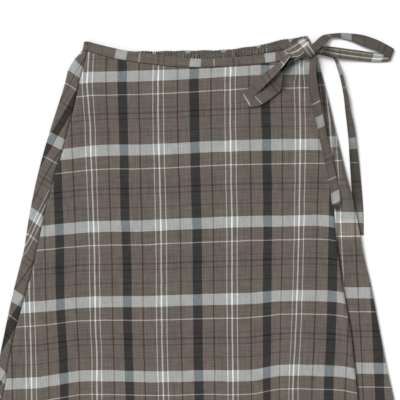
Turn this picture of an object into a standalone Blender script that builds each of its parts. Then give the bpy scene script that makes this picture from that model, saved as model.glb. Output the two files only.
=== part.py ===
"""
A wrap skirt of yarn-dyed check, laid flat and face up.

+X runs to the viewer's right, +Y to the waist and +Z up from the surface that it lies on.
The origin is on the underside of the back panel, on the centre line at the hips.
Lengths in the tables are millimetres; the meshes are metres.

The layers, from the surface up: back panel, under panel of the front, over panel of the front.
At the left the back panel folds round to the front as far as the left side seam.
"""

import math
from collections import namedtuple

import bmesh
import bpy
from mathutils import Vector

MM = 0.001

# Cloth walls and clearances
PANEL_WALL = 1.0
BAND_WALL = 1.6
TIE_WALL = 1.2
SEAM_GAP = 0.3

# Resting heights of each layer's middle, away from the waist and at the waist
BACK_MID = PANEL_WALL / 2
UNDER_MID = BACK_MID + PANEL_WALL + SEAM_GAP
OVER_MID = UNDER_MID + PANEL_WALL + SEAM_GAP
WAIST_RISE = 2.0
OVER_RISE_SHARE = 1.3
RISE_FROM_Y = 90.0
RISE_TO_Y = 195.0
UNDER_BAND_MID = 4.1
OVER_BAND_MID = 6.0

# Gathers: broad folds in the back panel, fine ones in the elastic band
PANEL_GATHERS = 20
BAND_GATHERS = 64
BAND_HEIGHT = 14.5
BAND_WAVE = 0.85
BAND_CLEARANCE = 0.15

# The right tail passes under the skirt's edge and lifts every layer there
TAIL_LIFT = 1.6
TAIL_LIFT_Y = (28.0, -62.0)
TAIL_LIFT_FADE = 26.0
TAIL_LIFT_REACH = 16.0
TAIL_LIFT_SPREAD = 8.0

# The hem, which hangs lowest at the middle
HEM_MIDDLE_Y = -619.0
HEM_SIDE_LIFT = 21.0
HEM_HALF_WIDTH = 355.0

# The knot: a strip wrapped over the ties, its half sizes and its slant
KNOT_CENTRE = (166.8, 217.3, 11.2)
KNOT_HALF = (9.5, 12.5, 5.8)
KNOT_TURN = math.radians(37.0)
KNOT_SQUARENESS = 0.75

Outline = namedtuple("Outline", "y left_fold left_seam over_edge right_fold")
OUTLINE = (
    Outline(236.0, -160.5, -153.9, 161.0, 163.5),
    Outline(230.0, -162.4, -155.7, 162.4, 167.0),
    Outline(214.6, -166.0, -157.2, 163.6, 174.0),
    Outline(203.0, -174.7, -159.8, 164.6, 179.0),
    Outline(188.5, -183.3, -163.6, 167.0, 181.9),
    Outline(174.0, -188.5, -168.2, 168.9, 184.9),
    Outline(152.3, -195.3, -173.8, 172.3, 190.7),
    Outline(116.0, -207.4, -182.9, 179.1, 200.6),
    Outline(72.5, -220.4, -194.3, 187.3, 211.4),
    Outline(29.0, -231.6, -206.3, 194.8, 222.3),
    Outline(-14.5, -240.7, -218.1, 200.6, 232.3),
    Outline(-58.0, -248.6, -228.5, 205.6, 241.4),
    Outline(-101.5, -257.2, -239.4, 211.4, 250.3),
    Outline(-145.0, -267.4, -251.1, 216.9, 259.4),
    Outline(-188.5, -277.0, -262.0, 222.6, 268.3),
    Outline(-232.0, -286.0, -271.4, 227.8, 277.0),
    Outline(-288.6, -297.3, -282.2, 232.6, 288.6),
    Outline(-440.0, -328.6, -313.0, 250.0, 318.8),
    Outline(-597.4, -361.0, -345.0, 268.3, 349.5),
    Outline(-625.0, -366.7, -350.6, 271.5, 355.0),
)

Waist = namedtuple("Waist", "x front_top front_bottom under_bottom back_top")
WAIST = (
    Waist(-163.0, 230.8, 216.6, 215.4, 230.1),
    Waist(-155.0, 229.0, 214.6, 213.4, 228.6),
    Waist(-132.0, 223.0, 207.4, 206.3, 221.6),
    Waist(-100.0, 216.0, 201.0, 199.9, 216.6),
    Waist(-61.0, 210.5, 195.5, 194.5, 215.8),
    Waist(-26.0, 206.5, 192.1, 191.2, 216.7),
    Waist(7.0, 203.9, 191.6, 190.7, 217.4),
    Waist(43.5, 205.4, 193.0, 192.1, 218.9),
    Waist(80.0, 208.8, 195.5, 194.5, 223.8),
    Waist(100.0, 212.0, 197.3, 196.2, 226.7),
    Waist(117.5, 214.3, 199.8, 197.8, 230.4),
    Waist(146.0, 217.0, 202.6, 199.8, 235.0),
    Waist(161.0, 218.0, 203.2, 201.0, 237.4),
    Waist(178.0, 219.0, 203.4, 209.6, 239.5),
)
WAIST_ENDS = (-163.0, 178.0)

# A strip of doubled cloth, its two edges given at each section
Section = namedtuple("Section", "x1 y1 z1 x2 y2 z2")

# The over band is drawn together into the knot
OVER_BAND_END = (
    Section(117.5, 214.2, 6.0, 117.5, 200.4, 6.0),
    Section(126.0, 214.6, 6.2, 127.5, 202.6, 6.1),
    Section(136.0, 216.6, 6.6, 138.5, 205.4, 6.5),
    Section(147.0, 219.4, 7.2, 150.0, 209.4, 7.1),
    Section(160.0, 222.9, 8.2, 163.0, 213.9, 8.0),
)

# The under band slopes up to the back band's end
UNDER_BAND_END = (
    Section(140.0, 213.8, 4.0, 141.5, 200.3, 4.0),
    Section(156.0, 216.5, 3.5, 159.0, 201.7, 3.4),
    Section(169.0, 223.0, 2.5, 176.0, 209.6, 2.4),
)

LOOP_LEFT = (
    Section(155.2, 218.9, 10.2, 152.8, 210.8, 13.0),
    Section(140.7, 214.6, 9.0, 142.8, 209.5, 14.0),
    Section(131.9, 210.2, 8.4, 135.6, 205.9, 14.5),
    Section(124.7, 202.3, 8.2, 129.0, 197.2, 14.0),
    Section(117.0, 196.3, 8.0, 123.2, 189.9, 13.0),
    Section(111.4, 192.3, 8.2, 119.6, 182.0, 11.6),
    Section(101.1, 184.9, 8.3, 110.2, 171.7, 10.4),
    Section(90.8, 176.2, 8.4, 100.5, 162.4, 9.8),
    Section(82.1, 168.2, 8.6, 93.5, 155.6, 9.4),
    Section(75.4, 161.7, 8.6, 87.0, 149.3, 9.0),
    Section(69.4, 153.9, 8.3, 79.8, 138.0, 8.5),
    Section(68.3, 151.5, 7.0, 78.3, 134.8, 7.0),
    Section(69.8, 151.8, 6.2, 80.0, 134.8, 6.0),
    Section(81.2, 150.8, 6.2, 92.9, 137.2, 6.0),
    Section(89.2, 153.7, 6.3, 101.1, 141.2, 6.1),
    Section(99.3, 160.9, 6.6, 109.6, 147.6, 6.4),
    Section(105.1, 168.2, 6.9, 116.7, 153.0, 6.7),
    Section(109.5, 173.3, 7.1, 122.8, 159.5, 7.0),
    Section(114.5, 179.8, 7.3, 124.7, 171.1, 7.3),
    Section(120.3, 187.8, 7.7, 128.3, 182.0, 7.8),
    Section(129.8, 197.2, 8.4, 136.3, 192.1, 8.2),
    Section(140.7, 205.0, 9.4, 146.4, 200.6, 9.0),
    Section(152.8, 212.0, 10.2, 158.6, 206.2, 9.8),
)

LOOP_RIGHT = (
    Section(163.8, 222.6, 10.0, 174.0, 213.2, 11.0),
    Section(170.9, 227.8, 9.0, 182.4, 221.8, 13.0),
    Section(181.2, 237.2, 6.0, 189.9, 229.1, 13.5),
    Section(190.5, 240.6, 3.5, 196.5, 234.6, 13.0),
    Section(210.0, 242.3, 2.5, 211.0, 234.0, 12.0),
    Section(226.6, 240.0, 2.5, 226.2, 229.1, 10.5),
    Section(243.3, 237.8, 3.5, 242.2, 221.8, 8.5),
    Section(261.7, 231.7, 4.2, 258.8, 215.8, 6.6),
    Section(275.5, 226.2, 4.2, 271.1, 209.5, 5.4),
    Section(284.6, 220.6, 4.0, 278.2, 201.8, 4.6),
    Section(286.7, 218.8, 2.6, 279.8, 200.1, 3.0),
    Section(284.8, 218.0, 1.2, 278.4, 200.0, 1.6),
    Section(271.1, 213.2, 1.0, 263.9, 199.7, 1.4),
    Section(257.1, 214.2, 0.8, 252.3, 200.1, 1.8),
    Section(234.9, 217.1, 0.8, 233.4, 202.0, 3.0),
    Section(215.5, 219.7, 1.0, 215.5, 204.0, 5.0),
    Section(198.7, 221.8, 2.5, 197.2, 206.8, 7.5),
    Section(187.8, 222.3, 6.4, 183.3, 210.3, 9.4),
    Section(174.0, 219.8, 9.4, 171.8, 212.0, 10.4),
)

# Its heights are above the middle of the over panel, whose edge it lies along
TAIL_LEFT = (
    Section(160.5, 213.5, 2.9, 169.7, 210.7, 3.3),
    Section(158.8, 206.3, 2.4, 171.1, 204.2, 2.4),
    Section(160.9, 194.3, 1.7, 171.8, 194.3, 1.7),
    Section(162.0, 185.6, 1.5, 173.0, 185.6, 1.5),
    Section(162.7, 161.5, 1.5, 176.3, 161.5, 1.5),
    Section(167.5, 140.7, 1.5, 180.4, 140.7, 1.5),
    Section(171.5, 121.8, 1.5, 183.7, 121.8, 1.5),
    Section(176.3, 104.4, 1.5, 187.5, 104.4, 1.5),
    Section(179.2, 87.0, 1.5, 190.8, 87.0, 1.5),
    Section(187.0, 50.8, 1.6, 199.5, 50.8, 1.6),
    Section(194.3, 13.0, 1.7, 207.2, 13.0, 1.7),
    Section(196.3, -2.9, 1.7, 208.8, -2.9, 1.7),
    Section(198.5, -11.6, 1.7, 206.9, -11.6, 1.7),
)

TAIL_RIGHT = (
    Section(171.0, 214.0, 7.4, 174.0, 208.0, 7.4),
    Section(182.7, 212.6, 5.4, 181.7, 205.3, 5.4),
    Section(192.8, 208.8, 3.0, 193.8, 202.0, 4.2),
    Section(200.7, 203.0, 1.2, 205.6, 201.0, 8.0),
    Section(205.6, 189.9, 0.9, 211.6, 189.9, 10.0),
    Section(209.2, 178.3, 0.9, 215.6, 178.3, 10.0),
    Section(213.0, 161.5, 0.9, 219.5, 161.5, 9.5),
    Section(215.2, 147.9, 0.9, 223.4, 149.3, 9.0),
    Section(217.4, 129.0, 0.9, 225.8, 130.5, 8.5),
    Section(220.4, 107.3, 0.9, 230.3, 108.8, 7.0),
    Section(222.1, 90.5, 0.85, 232.6, 91.3, 6.0),
    Section(224.6, 58.0, 0.8, 236.3, 58.0, 3.5),
    Section(227.6, 14.5, 0.7, 239.7, 14.5, 0.9),
    Section(229.9, -17.4, 0.65, 242.0, -17.4, 0.65),
    Section(231.9, -49.3, 0.65, 243.9, -50.8, 0.65),
)

Cloth = namedtuple("Cloth", "colour roughness")
GROUND = Cloth((0.14, 0.125, 0.115), 0.92)
GROUND_DARK = Cloth((0.11, 0.10, 0.09), 0.92)
GROUND_LIGHT = Cloth((0.17, 0.155, 0.145), 0.92)


def smooth(x, start, end):
    """0 at start, 1 at end, eased at both."""
    t = min(1.0, max(0.0, (x - start) / (end - start)))
    return t * t * (3 - 2 * t)


def smooth_curve(knots):
    """A smooth function through (position, value) pairs sorted by position, straight past its ends."""
    count = len(knots)
    chords = [
        (knots[i + 1][1] - knots[i][1]) / (knots[i + 1][0] - knots[i][0])
        for i in range(count - 1)
    ]
    slopes = [chords[0]]
    slopes += [(chords[i - 1] + chords[i]) / 2 for i in range(1, count - 1)]
    slopes += [chords[-1]]

    def value(x):
        if x <= knots[0][0]:
            return knots[0][1] + slopes[0] * (x - knots[0][0])
        if x >= knots[-1][0]:
            return knots[-1][1] + slopes[-1] * (x - knots[-1][0])
        i = 0
        while x > knots[i + 1][0]:
            i += 1
        x0, y0 = knots[i]
        x1, y1 = knots[i + 1]
        span = x1 - x0
        t = (x - x0) / span
        ease = t * t * (3 - 2 * t)
        lead = span * t * (1 - t) ** 2 * slopes[i]
        trail = span * t * t * (t - 1) * slopes[i + 1]
        return y0 + (y1 - y0) * ease + lead + trail

    return value


def column(table, key, name):
    """The curve of one named column of a table against another."""
    pairs = sorted((getattr(row, key), getattr(row, name)) for row in table)
    return smooth_curve(pairs)


left_fold = column(OUTLINE, "y", "left_fold")
left_seam = column(OUTLINE, "y", "left_seam")
over_edge = column(OUTLINE, "y", "over_edge")
right_fold = column(OUTLINE, "y", "right_fold")
front_top = column(WAIST, "x", "front_top")
front_bottom = column(WAIST, "x", "front_bottom")
under_bottom = column(WAIST, "x", "under_bottom")
back_top = column(WAIST, "x", "back_top")


def under_edge(y):
    """The under panel is cut as the over panel's mirror image, so its free edge slants the other way."""
    return max(left_fold(y) + right_fold(y) - over_edge(y), left_seam(y) + 13.0)


def back_bottom(x):
    """The lower edge of the elastic band."""
    return back_top(x) - BAND_HEIGHT


def hem(x):
    return HEM_MIDDLE_Y + HEM_SIDE_LIFT * (x / HEM_HALF_WIDTH) ** 2


def waist_rise(y):
    return WAIST_RISE * smooth(y, RISE_FROM_Y, RISE_TO_Y)


def tail_lift(x, y, layer):
    """How far the tail under the right edge lifts the layers, the upper ones over a wider stretch."""
    spread = layer * TAIL_LIFT_SPREAD
    top = TAIL_LIFT_Y[0] + spread
    bottom = TAIL_LIFT_Y[1] - spread
    along = smooth(y, top + TAIL_LIFT_FADE, top) * smooth(y, bottom - TAIL_LIFT_FADE, bottom)
    inward = right_fold(y) - x
    reach = TAIL_LIFT_REACH + spread
    across = smooth(inward, reach + TAIL_LIFT_FADE, reach)
    return TAIL_LIFT * along * across


def gather(x, y):
    """The back panel's folds below the elastic, 0 in the troughs, which rest on the surface."""
    width = right_fold(y) - left_fold(y)
    share = (x - left_fold(y)) / width
    swing = 0.5 - 0.5 * math.cos(2 * math.pi * PANEL_GATHERS * share)
    uneven = 0.75 + 0.25 * math.sin(11.0 * share + 0.7)
    clear_edges = smooth(share, 0.03, 0.09) * smooth(share, 0.985, 0.94)
    return 0.8 * waist_rise(y) * swing * uneven * clear_edges


def back_height(x, y):
    return BACK_MID + gather(x, y) + tail_lift(x, y, 0)


def under_height(x, y):
    near_edge = smooth(right_fold(y) - x, 1.0, 17.0)
    return UNDER_MID + waist_rise(y) * near_edge + tail_lift(x, y, 1)


def over_height(x, y):
    return OVER_MID + OVER_RISE_SHARE * waist_rise(y) + tail_lift(x, y, 2)


def down_the_panel(across, top, low, share):
    """The point of a panel at a share of its way down, on the line that across gives."""
    y = low(0.0)
    x = across(y)
    for _ in range(6):
        x = across(y)
        start = top(min(max(x, WAIST_ENDS[0]), WAIST_ENDS[1]))
        y = start + share * (low(x) - start)
    return x, y


# Shares of the way down a panel: closer at the waist and where the tail passes
DOWN = (
    0.0, 0.015, 0.04, 0.08, 0.13, 0.18, 0.215, 0.25, 0.285, 0.32, 0.36, 0.42, 0.55, 0.75, 1.0,
)  # fmt: skip
# Shares of the way across a front panel: closer at its edges
ACROSS = (
    0.0, 0.015, 0.05, 0.1, 0.16, 0.22, 0.28, 0.34, 0.4, 0.46, 0.52, 0.58,
    0.64, 0.7, 0.76, 0.82, 0.87, 0.9, 0.925, 0.95, 0.975, 1.0,
)  # fmt: skip

FOLD_STEPS = 5
STRIP_STEPS = 3


def cloth_material(name, cloth):
    material = bpy.data.materials.new(name)
    material.use_nodes = True
    shader = material.node_tree.nodes["Principled BSDF"]
    shader.inputs["Base Color"].default_value = (*cloth.colour, 1.0)
    shader.inputs["Roughness"].default_value = cloth.roughness
    shader.inputs["Metallic"].default_value = 0.0
    return material


def cloth_wall(name, columns, rows, place, wall, cloth, collection):
    """A grid of columns by rows, each point put at place(column, row), given a wall of even thickness."""
    mesh = bpy.data.meshes.new(name)
    bm = bmesh.new()
    bmesh.ops.create_grid(bm, x_segments=columns - 1, y_segments=rows - 1, size=0.5)
    for vertex in bm.verts:
        i = round((vertex.co.x + 0.5) * (columns - 1))
        j = round((vertex.co.y + 0.5) * (rows - 1))
        vertex.co = Vector(place(i, j)) * MM
    bm.to_mesh(mesh)
    bm.free()
    mesh.shade_smooth()
    piece = bpy.data.objects.new(name, mesh)
    collection.objects.link(piece)
    mesh.materials.append(cloth_material(name + "_cloth", cloth))
    solid = piece.modifiers.new("wall", "SOLIDIFY")
    solid.thickness = wall * MM
    solid.offset = 0.0
    solid.use_even_offset = True
    return piece


def make_front_panel(name, left, right, top, height, columns, cloth, collection):
    """A flat panel from its left edge to its right one, hung from the line top."""

    def place(i, j):
        share = columns[i]

        def across(y):
            return left(y) + share * (right(y) - left(y))

        x, y = down_the_panel(across, top, hem, DOWN[-1 - j])
        return x, y, height(x, y)

    return cloth_wall(name, len(columns), len(DOWN), place, PANEL_WALL, cloth, collection)


def make_back_panel(collection):
    """The back, its left part folded round to the front up to the left side seam."""
    under_steps = 4 * PANEL_GATHERS
    columns = under_steps + 1 + FOLD_STEPS + STRIP_STEPS

    def top(x):
        return back_bottom(x) - 2 * SEAM_GAP

    def place(i, j):
        share = DOWN[-1 - j]
        flat = min(i, under_steps) / under_steps

        def across(y):
            fold = left_fold(y) + (over_height(0.0, y) - BACK_MID) / 2 + PANEL_WALL / 2
            return right_fold(y) + flat * (fold - right_fold(y))

        x, y = down_the_panel(across, top, hem, share)
        if i <= under_steps:
            return x, y, back_height(x, y)
        upper = over_height(0.0, y)
        radius = (upper - BACK_MID) / 2
        if i <= under_steps + FOLD_STEPS:
            turn = math.pi * (i - under_steps) / FOLD_STEPS
            return x - radius * math.sin(turn), y, BACK_MID + radius * (1 - math.cos(turn))
        along = (i - under_steps - FOLD_STEPS) / STRIP_STEPS
        seam = left_seam(y) - SEAM_GAP / 2
        return x + along * (seam - x), y, upper

    return cloth_wall(
        "back_panel", columns, len(DOWN), place, PANEL_WALL, GROUND, collection
    )


def make_back_band(collection):
    """The elastic band: fine gathers that fade at its ends, wrapped to the front at the left."""
    rows = 3
    right_end = Vector((161.2, 168.4))
    steps = 3 * BAND_GATHERS
    columns = steps + 1 + FOLD_STEPS + STRIP_STEPS
    radius = (OVER_BAND_MID - BACK_MID) / 2
    rest = BACK_MID + BAND_CLEARANCE

    def place(i, j):
        slack = 1 - j / (rows - 1)
        flat = min(i, steps) / steps
        start = right_end[0] + slack * (right_end[1] - right_end[0])
        fold = left_fold(back_top(-160.0) - BAND_HEIGHT * slack) + radius + PANEL_WALL / 2
        x = start + flat * (fold - start)
        y = back_top(x) - BAND_HEIGHT * slack
        swing = 0.5 + 0.5 * math.sin(2 * math.pi * BAND_GATHERS * flat)
        uneven = 0.8 + 0.2 * math.sin(37.0 * flat)
        ends = smooth(flat, 0.0, 0.03) * smooth(flat, 1.0, 0.97)
        z = rest + 2 * BAND_WAVE * swing * uneven * ends
        if i <= steps:
            return x, y, z
        if i <= steps + FOLD_STEPS:
            turn = math.pi * (i - steps) / FOLD_STEPS
            around = 1 - math.cos(turn)
            return x - radius * math.sin(turn), y, rest + around * (OVER_BAND_MID - rest) / 2
        along = (i - steps - FOLD_STEPS) / STRIP_STEPS
        seam = left_seam(y) - SEAM_GAP / 2
        return x + along * (seam - x), y, OVER_BAND_MID

    return cloth_wall(
        "waistband_back", columns, rows, place, PANEL_WALL, GROUND_LIGHT, collection
    )


def make_strip(name, sections, steps, wall, cloth, collection):
    """A strip through its sections: both edges run on smooth curves, steps parts to each section."""
    edges = [
        smooth_curve([(k, getattr(row, field)) for k, row in enumerate(sections)])
        for field in Section._fields
    ]
    columns = (len(sections) - 1) * steps + 1
    rows = 3

    def place(i, j):
        x1, y1, z1, x2, y2, z2 = (edge(i / steps) for edge in edges)
        side = j / (rows - 1)
        return x1 + side * (x2 - x1), y1 + side * (y2 - y1), z1 + side * (z2 - z1)

    return cloth_wall(name, columns, rows, place, wall, cloth, collection)


def over_band_sections():
    """The over band: along the over panel's top edge, then drawn together into the knot."""
    start = left_seam(222.0) + SEAM_GAP / 2
    stations = (start, -143.0, -122.0, -100.0, -78.0, -55.0, -30.0, -8.0, 14.0, 38.0, 62.0, 84.0, 103.0)
    rows = []
    for x in stations:
        low = front_bottom(x) + 2 * SEAM_GAP
        rows.append(Section(x, front_top(x), OVER_BAND_MID, x, low, OVER_BAND_MID))
    first = rows[0]
    rows[0] = first._replace(x1=left_seam(229.0) + 0.15, x2=left_seam(215.0) + 0.15)
    return tuple(rows) + OVER_BAND_END


def under_band_sections():
    """The under band: along the under panel's top edge, just lower than the over band."""
    rows = []
    for x in (-146.0, -134.0, -118.0, -98.0, -78.0, -55.0, -30.0, -8.0, 14.0, 38.0, 62.0, 84.0, 103.0, 122.0):
        low = under_bottom(x) + 2 * SEAM_GAP
        rows.append(Section(x, front_top(x) - 1.5, UNDER_BAND_MID, x, low, UNDER_BAND_MID))
    return tuple(rows) + UNDER_BAND_END


def laid_on_front(sections):
    """Sections whose heights are above the over panel's middle."""
    return tuple(
        row._replace(
            z1=row.z1 + over_height(row.x1, row.y1),
            z2=row.z2 + over_height(min(row.x2, over_edge(row.y2)), row.y2),
        )
        for row in sections
    )


def make_knot(name, grow, collection):
    """A squarish rounded lump, grow millimetres larger all round."""
    mesh = bpy.data.meshes.new(name)
    bm = bmesh.new()
    bmesh.ops.create_uvsphere(bm, u_segments=20, v_segments=12, radius=1.0)
    for vertex in bm.verts:
        shaped = [
            math.copysign(abs(part) ** KNOT_SQUARENESS, part) * (half + grow)
            for part, half in zip(vertex.co, KNOT_HALF)
        ]
        vertex.co = Vector(shaped) * MM
    bm.to_mesh(mesh)
    bm.free()
    mesh.shade_smooth()
    knot = bpy.data.objects.new(name, mesh)
    knot.location = Vector(KNOT_CENTRE) * MM
    knot.rotation_euler = (0.0, 0.0, KNOT_TURN)
    collection.objects.link(knot)
    return knot


def cut_clear(piece, cutter):
    """Ends the piece just short of the cutter."""
    cut = piece.modifiers.new("clear of the knot", "BOOLEAN")
    cut.operation = "DIFFERENCE"
    cut.solver = "EXACT"
    cut.object = cutter


def main():
    for old in list(bpy.data.objects):
        bpy.data.objects.remove(old)
    skirt = bpy.data.collections.new("wrap_skirt")
    cutters = bpy.data.collections.new("cutters")
    for collection in (skirt, cutters):
        bpy.context.scene.collection.children.link(collection)

    make_back_panel(skirt)
    make_front_panel(
        "front_under_panel", under_edge, right_fold, under_bottom, under_height,
        ACROSS, GROUND_DARK, skirt,
    )  # fmt: skip

    def seam_side(y):
        return left_seam(y) + SEAM_GAP / 2

    make_front_panel(
        "front_over_panel", seam_side, over_edge, front_bottom, over_height,
        ACROSS, GROUND, skirt,
    )  # fmt: skip
    make_back_band(skirt)
    make_strip("waistband_under", under_band_sections(), 2, BAND_WALL, GROUND_DARK, skirt)
    over_band = make_strip("waistband_over", over_band_sections(), 2, BAND_WALL, GROUND, skirt)

    knot = make_knot("bow_knot", 0.0, skirt)
    knot.data.materials.append(cloth_material("bow_knot_cloth", GROUND))
    knot_space = make_knot("knot_space", SEAM_GAP, cutters)
    knot_space.hide_render = True
    knot_space.display_type = "WIRE"
    cut_clear(over_band, knot_space)
    ties = (
        ("bow_loop_left", LOOP_LEFT),
        ("bow_loop_right", LOOP_RIGHT),
        ("tie_tail_left", laid_on_front(TAIL_LEFT)),
        ("tie_tail_right", TAIL_RIGHT),
    )
    for name, sections in ties:
        tie = make_strip(name, sections, 2, TIE_WALL, GROUND, skirt)
        cut_clear(tie, knot_space)


main()
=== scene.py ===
"""
The looks of a wrap skirt of yarn-dyed check, laid flat and face up.

+X runs to the viewer's right, +Y to the waist and +Z up from the floor.
Lengths are millimetres up to the last step of each mesh, which is in metres.
"""

import math
from collections import namedtuple

import bmesh
import bpy
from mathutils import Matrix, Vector


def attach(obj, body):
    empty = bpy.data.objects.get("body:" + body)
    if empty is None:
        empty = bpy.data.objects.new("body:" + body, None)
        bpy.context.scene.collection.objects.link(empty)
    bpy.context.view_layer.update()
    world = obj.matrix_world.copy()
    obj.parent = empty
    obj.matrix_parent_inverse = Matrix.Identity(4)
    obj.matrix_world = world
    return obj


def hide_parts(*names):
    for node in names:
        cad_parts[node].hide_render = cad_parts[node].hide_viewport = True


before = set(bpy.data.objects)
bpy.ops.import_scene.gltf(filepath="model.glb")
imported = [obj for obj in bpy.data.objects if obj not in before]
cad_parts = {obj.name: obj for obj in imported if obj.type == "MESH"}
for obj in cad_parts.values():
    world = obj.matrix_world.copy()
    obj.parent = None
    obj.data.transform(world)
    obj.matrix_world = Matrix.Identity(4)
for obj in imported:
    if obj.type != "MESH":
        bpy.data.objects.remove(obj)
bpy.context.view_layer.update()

MM = 0.001

# Cloth walls, as in the solids, and the thin cloth that is shown
PANEL_WALL = 1.0
SEAM_GAP = 0.3
PANEL_CLOTH = 0.7
TUBE_CLOTH = 0.3
BAND_THICKNESS = 1.5
TIE_THICKNESS = 1.2

# Resting heights of each layer's middle
BACK_MID = PANEL_WALL / 2
UNDER_MID = BACK_MID + PANEL_WALL + SEAM_GAP
OVER_MID = UNDER_MID + PANEL_WALL + SEAM_GAP
WAIST_RISE = 2.0
OVER_RISE_SHARE = 1.3
RISE_FROM_Y = 90.0
RISE_TO_Y = 195.0
UNDER_BAND_MID = 4.1
OVER_BAND_MID = 6.0
BAND_HEIGHT = 14.5

# The right tail lifts every layer at the right edge
TAIL_LIFT = 1.6
TAIL_LIFT_Y = (28.0, -62.0)
TAIL_LIFT_FADE = 26.0
TAIL_LIFT_REACH = 16.0
TAIL_LIFT_SPREAD = 8.0

# The hem
HEM_MIDDLE_Y = -619.0
HEM_SIDE_LIFT = 21.0
HEM_HALF_WIDTH = 355.0

# The knot
KNOT_CENTRE = (164.0, 214.6, 10.2)
KNOT_HALF = (7.6, 8.2, 5.2)
KNOT_TURN = math.radians(37.0)

Outline = namedtuple("Outline", "y left_fold left_seam over_edge right_fold")
OUTLINE = (
    Outline(236.0, -160.5, -153.9, 161.0, 163.5),
    Outline(230.0, -162.4, -155.7, 162.4, 167.0),
    Outline(214.6, -166.0, -157.2, 163.6, 174.0),
    Outline(203.0, -174.7, -159.8, 164.6, 179.0),
    Outline(188.5, -183.3, -163.6, 167.0, 181.9),
    Outline(174.0, -188.5, -168.2, 168.9, 184.9),
    Outline(152.3, -195.3, -173.8, 172.3, 190.7),
    Outline(116.0, -207.4, -182.9, 179.1, 200.6),
    Outline(72.5, -220.4, -194.3, 187.3, 211.4),
    Outline(29.0, -231.6, -206.3, 194.8, 222.3),
    Outline(-14.5, -240.7, -218.1, 200.6, 232.3),
    Outline(-58.0, -248.6, -228.5, 205.6, 241.4),
    Outline(-101.5, -257.2, -239.4, 211.4, 250.3),
    Outline(-145.0, -267.4, -251.1, 216.9, 259.4),
    Outline(-188.5, -277.0, -262.0, 222.6, 268.3),
    Outline(-232.0, -286.0, -271.4, 227.8, 277.0),
    Outline(-288.6, -297.3, -282.2, 232.6, 288.6),
    Outline(-440.0, -328.6, -313.0, 250.0, 318.8),
    Outline(-597.4, -361.0, -345.0, 268.3, 349.5),
    Outline(-625.0, -366.7, -350.6, 271.5, 355.0),
)

Waist = namedtuple("Waist", "x front_top front_bottom under_bottom back_top")
WAIST = (
    Waist(-163.0, 230.8, 216.6, 215.4, 230.1),
    Waist(-155.0, 229.0, 214.6, 213.4, 228.6),
    Waist(-132.0, 223.0, 207.4, 206.3, 221.6),
    Waist(-100.0, 216.0, 201.0, 199.9, 216.6),
    Waist(-61.0, 210.5, 195.5, 194.5, 215.8),
    Waist(-26.0, 206.5, 192.1, 191.2, 216.7),
    Waist(7.0, 203.9, 191.6, 190.7, 217.4),
    Waist(43.5, 205.4, 193.0, 192.1, 218.9),
    Waist(80.0, 208.8, 195.5, 194.5, 223.8),
    Waist(100.0, 212.0, 197.3, 196.2, 226.7),
    Waist(117.5, 214.3, 199.8, 197.8, 230.4),
    Waist(146.0, 217.0, 202.6, 199.8, 235.0),
    Waist(161.0, 218.0, 203.2, 201.0, 237.4),
    Waist(178.0, 219.0, 203.4, 209.6, 239.5),
)
WAIST_ENDS = (-163.0, 178.0)

Section = namedtuple("Section", "x1 y1 z1 x2 y2 z2")
# The over band's end is drawn up into pleats and lies over the end of the elastic band
OVER_BAND_END = (
    Section(117.5, 214.2, 6.0, 117.5, 200.4, 6.0),
    Section(125.4, 215.6, 6.3, 128.3, 202.0, 6.4),
    Section(132.0, 219.7, 7.2, 138.5, 205.2, 9.2),
    Section(142.8, 226.9, 8.2, 150.1, 207.4, 11.4),
    Section(152.3, 232.7, 7.6, 159.5, 216.0, 10.6),
    Section(160.3, 236.9, 5.2, 166.5, 222.6, 7.4),
)
UNDER_BAND_END = (
    Section(140.0, 213.8, 4.0, 141.5, 200.3, 4.0),
    Section(156.0, 216.5, 3.5, 159.0, 201.7, 3.4),
    Section(169.0, 223.0, 2.5, 176.0, 209.6, 2.4),
)
LOOP_LEFT = (
    Section(155.2, 218.9, 7.6, 152.8, 210.8, 8.2),
    Section(140.7, 214.6, 7.8, 142.8, 209.5, 9.6),
    Section(131.9, 210.2, 8.0, 135.6, 205.9, 12.0),
    Section(124.7, 202.3, 8.2, 129.0, 197.2, 13.0),
    Section(117.0, 196.3, 8.0, 123.2, 189.9, 12.6),
    Section(111.4, 192.3, 8.2, 118.4, 183.4, 13.0),
    Section(101.1, 184.9, 8.3, 108.8, 173.6, 13.0),
    Section(90.8, 176.2, 8.2, 99.1, 164.2, 11.6),
    Section(82.1, 168.2, 8.0, 92.3, 156.9, 8.8),
    Section(75.4, 161.7, 7.6, 86.2, 150.1, 7.2),
    Section(69.4, 153.9, 7.3, 79.8, 138.0, 7.0),
    Section(68.3, 151.5, 6.8, 78.3, 134.8, 6.8),
    Section(69.8, 151.8, 6.8, 80.0, 134.8, 6.8),
    Section(81.2, 150.8, 7.1, 92.9, 137.2, 7.1),
    Section(89.2, 153.7, 6.9, 101.1, 141.2, 6.8),
    Section(99.3, 160.9, 6.6, 109.6, 147.6, 6.4),
    Section(105.1, 168.2, 6.9, 116.7, 153.0, 6.7),
    Section(109.5, 173.3, 7.1, 122.8, 159.5, 7.0),
    Section(114.5, 179.8, 7.3, 124.7, 171.1, 7.3),
    Section(120.3, 187.8, 7.7, 126.2, 183.6, 7.8),
    Section(129.8, 197.2, 9.4, 132.4, 193.2, 9.0),
    Section(140.7, 205.0, 11.0, 146.4, 200.6, 10.0),
    Section(158.5, 214.5, 9.4, 162.0, 209.0, 8.8),
)
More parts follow.
